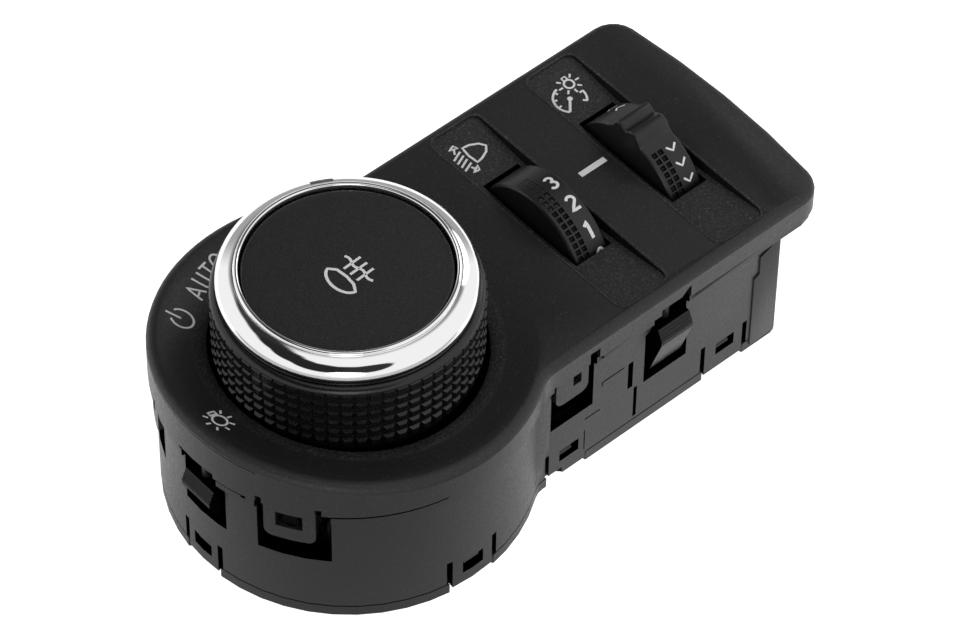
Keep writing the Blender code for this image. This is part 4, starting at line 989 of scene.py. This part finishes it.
# arrow marks on the dimmer wheel
arrowStrokes = []
for angle in (-23.8, -38.0, -52.3):
    y = math.radians(angle) * dimmer["radius"]
    arrowStrokes.append(([(70.45, y), (71.4, y - 1.1), (72.6, y)], 0.42, False))
for angle in (38.5, 50.0):
    y = math.radians(angle) * dimmer["radius"]
    arrowStrokes.append(([(70.45, y - 0.55), (71.4, y + 0.55), (72.6, y - 0.55)], 0.42, False))
arrowBm = strokeMesh(arrowStrokes)
for vert in arrowBm.verts:
    if vert.co.y > 0:
        vert.co.z += (dimmer["upperRadius"] - dimmer["radius"]) * mm
wrapOnWheel(arrowBm, dimmer)
signPiece("dimmer_arrows", arrowBm, "dimmer")

# signs behind the knob: dipped lamps and side lamps
dipped = [(arcPoints((0.5, 0), 1.3, 1.35, -90, 90, 15), 0.4, True)]
dipped += [([(0.0, y), (-1.7, y - 0.5)], 0.36, False) for y in (1.05, 0.35, -0.35, -1.05)]
sideLamps = []
for side in (-1, 1):
    sideLamps.append(([(x * side, y) for x, y in arcPoints((0.35, 0), 0.75, 0.85, -90, 90, 20)], 0.36, True))
    for y, out in ((0.75, 0.45), (0.0, 0.0), (-0.75, -0.45)):
        sideLamps.append(([(1.5 * side, y), (2.3 * side, y + out)], 0.34, False))
dishRadius = 29.4
for name, strokes, angle in (("sign_dipped_lamps", dipped, 63.0), ("sign_side_lamps", sideLamps, 86.0)):
    place = spoke((0.0, 0.0), angle, [dishRadius])[0]
    printSign(name, [(turned(points, 0.0, place), width, closed) for points, width, closed in strokes])
print("signs ready")


# Finishes of the nodes that stay

nodeLooks = {
    "light_guide": "light guide clear", "circuit_board": "circuit board green",
    "contact_wiper": "tinned brass",
    **dict.fromkeys(("push_switch", "button_plunger", "switch_rotor", "wheel_carrier"), "mechanism ivory"),
    **dict.fromkeys(("button_spring", "detent_spring", "dimmer_return_spring"), "spring wire"),
    **dict.fromkeys(("levelling_axle", "dimmer_axle"), "spring wire"),
    **dict.fromkeys(("levelling_sensor", "dimmer_sensor"), "sensor black"),
}
for number in range(1, 4):
    nodeLooks[f"led_{number}"] = "mechanism ivory"
for number in range(1, 11):
    nodeLooks[f"terminal_pin_{number:02d}"] = "tinned brass"
for node, look in nodeLooks.items():
    nodes[node].data.materials.clear()
    nodes[node].data.materials.append(materials[look])
print("finishes ready")


# Floor, lights and camera

studio = {
    "floorSize": 3.0, "floorColor": (0.85, 0.85, 0.85), "floorFill": 0.6, "floorLow": -0.02,
    "fillFrom": (-0.669, -0.743, 0.0), "fillReach": 0.05, "aim": (0.02, 0.0, 0.02),
    "sky": (1.0, 1.0, 1.0), "skyStrength": 0.95,
    # dark patches of the sky: angle round and above the horizon, radius of core and edge, grey
    "patches": [(50, 5, 30, 46, 0.4), (50, 52, 24, 36, 0.1), (100, 57, 8, 15, 0.05), (125, 60, 9, 14, 0.03),
                (152, 58, 11, 15, 0.02), (177, 52, 13, 16, 0.02), (202, 47, 16, 19, 0.02),
                (226, 45, 16, 19, 0.02), (247, 46, 14, 17, 0.03)],
    "key": {"place": (-0.45, -0.5, 0.35), "size": 0.35, "power": 0.6},
    "side": {"place": (0.3, 0.08, 0.26), "size": 0.14, "power": 0.1},
}

floorMaterial = newMaterial("pale floor", studio["floorColor"], 0.9, specular=0.0)
floorShader = shaderOf(floorMaterial)
mottle(floorMaterial, 30.0, 0.3, 0.7, (0.84, 0.84, 0.84), (0.86, 0.86, 0.86))
floorShader.inputs["Emission Color"].default_value = (1.0, 1.0, 1.0, 1.0)
seen = addNode(floorMaterial, "ShaderNodeLightPath")
place = floorMaterial.node_tree.nodes["Texture Coordinate"].outputs["Object"]
ahead = against(floorMaterial, place, "DOT_PRODUCT", studio["fillFrom"])
fill = mapRange(floorMaterial, ahead.outputs["Value"], studio["floorFill"], 0.0, 0.0, studio["fillReach"])
connect(floorMaterial, calculated(floorMaterial, "MAXIMUM", seen.outputs["Is Camera Ray"], fill),
        floorShader.inputs["Emission Strength"])
floorBm = bmesh.new()
bmesh.ops.create_grid(floorBm, x_segments=2, y_segments=2, size=studio["floorSize"])
bmesh.ops.translate(floorBm, verts=floorBm.verts, vec=(0.0, 0.0, studio["floorLow"] * mm))
floor = pieceFrom("floor", floorBm, floorMaterial)

world = bpy.data.worlds.new("studio")
bpy.context.scene.world = world
world.use_nodes = True
background = world.node_tree.nodes["Background"]
background.inputs["Strength"].default_value = studio["skyStrength"]
skyColor = addNode(world, "ShaderNodeRGB").outputs[0]
skyColor.default_value = (*studio["sky"], 1.0)
heading = addNode(world, "ShaderNodeTexCoord").outputs["Generated"]
for *angles, grey in studio["patches"]:
    around, above, core, rim = (math.radians(angle) for angle in angles)
    toward = (math.cos(around) * math.cos(above), math.sin(around) * math.cos(above), math.sin(above))
    facing = against(world, heading, "DOT_PRODUCT", toward)
    edge = addNode(world, "ShaderNodeMapRange", interpolation_type="SMOOTHSTEP", From_Min=math.cos(rim),
                   From_Max=math.cos(core))
    connect(world, facing.outputs["Value"], edge.inputs["Value"])
    mix = addNode(world, "ShaderNodeMix", data_type="RGBA")
    connect(world, edge.outputs["Result"], mix.inputs[0])
    connect(world, skyColor, mix.inputs[6])
    mix.inputs[7].default_value = (grey, grey, grey, 1.0)
    skyColor = mix.outputs[2]
connect(world, skyColor, background.inputs["Color"])


def areaLight(name, look):
    light = bpy.data.lights.new(name, "AREA")
    light.shape = "DISK"
    light.size = look["size"]
    light.energy = look["power"]
    holder = bpy.data.objects.new(name, light)
    holder.location = look["place"]
    aim = Vector(studio["aim"]) - Vector(look["place"])
    holder.rotation_euler = aim.to_track_quat("-Z", "Y").to_euler()
    bpy.context.scene.collection.objects.link(holder)


areaLight("front softbox", studio["key"])
areaLight("side softbox", studio["side"])

camera = {"azimuth": -41.9577, "elevation": 49.7079, "roll": 0.863, "target": (0.020345, -0.011599, 0.0349),
          "distance": 0.877, "lens": 187.5, "sensor": 36.0, "clipStart": 0.01}
azimuth = math.radians(camera["azimuth"])
elevation = math.radians(camera["elevation"])
roll = math.radians(camera["roll"])
backward = Vector((math.sin(azimuth) * math.cos(elevation), -math.cos(azimuth) * math.cos(elevation),
                   math.sin(elevation)))
level = Vector((math.cos(azimuth), math.sin(azimuth), 0.0))
upward = backward.cross(level)
sideAxis = level * math.cos(roll) + upward * math.sin(roll)
topAxis = upward * math.cos(roll) - level * math.sin(roll)
cameraData = bpy.data.cameras.new("camera")
cameraData.lens = camera["lens"]
cameraData.sensor_width = camera["sensor"]
cameraData.clip_start = camera["clipStart"]

cameraObject = bpy.data.objects.new("camera", cameraData)
pose = Matrix((sideAxis, topAxis, backward)).transposed().to_4x4()
pose.translation = Vector(camera["target"]) + backward * camera["distance"]
cameraObject.matrix_world = pose
bpy.context.scene.collection.objects.link(cameraObject)
bpy.context.scene.camera = cameraObject
bpy.context.scene.view_settings.view_transform = "Standard"
print("studio ready")
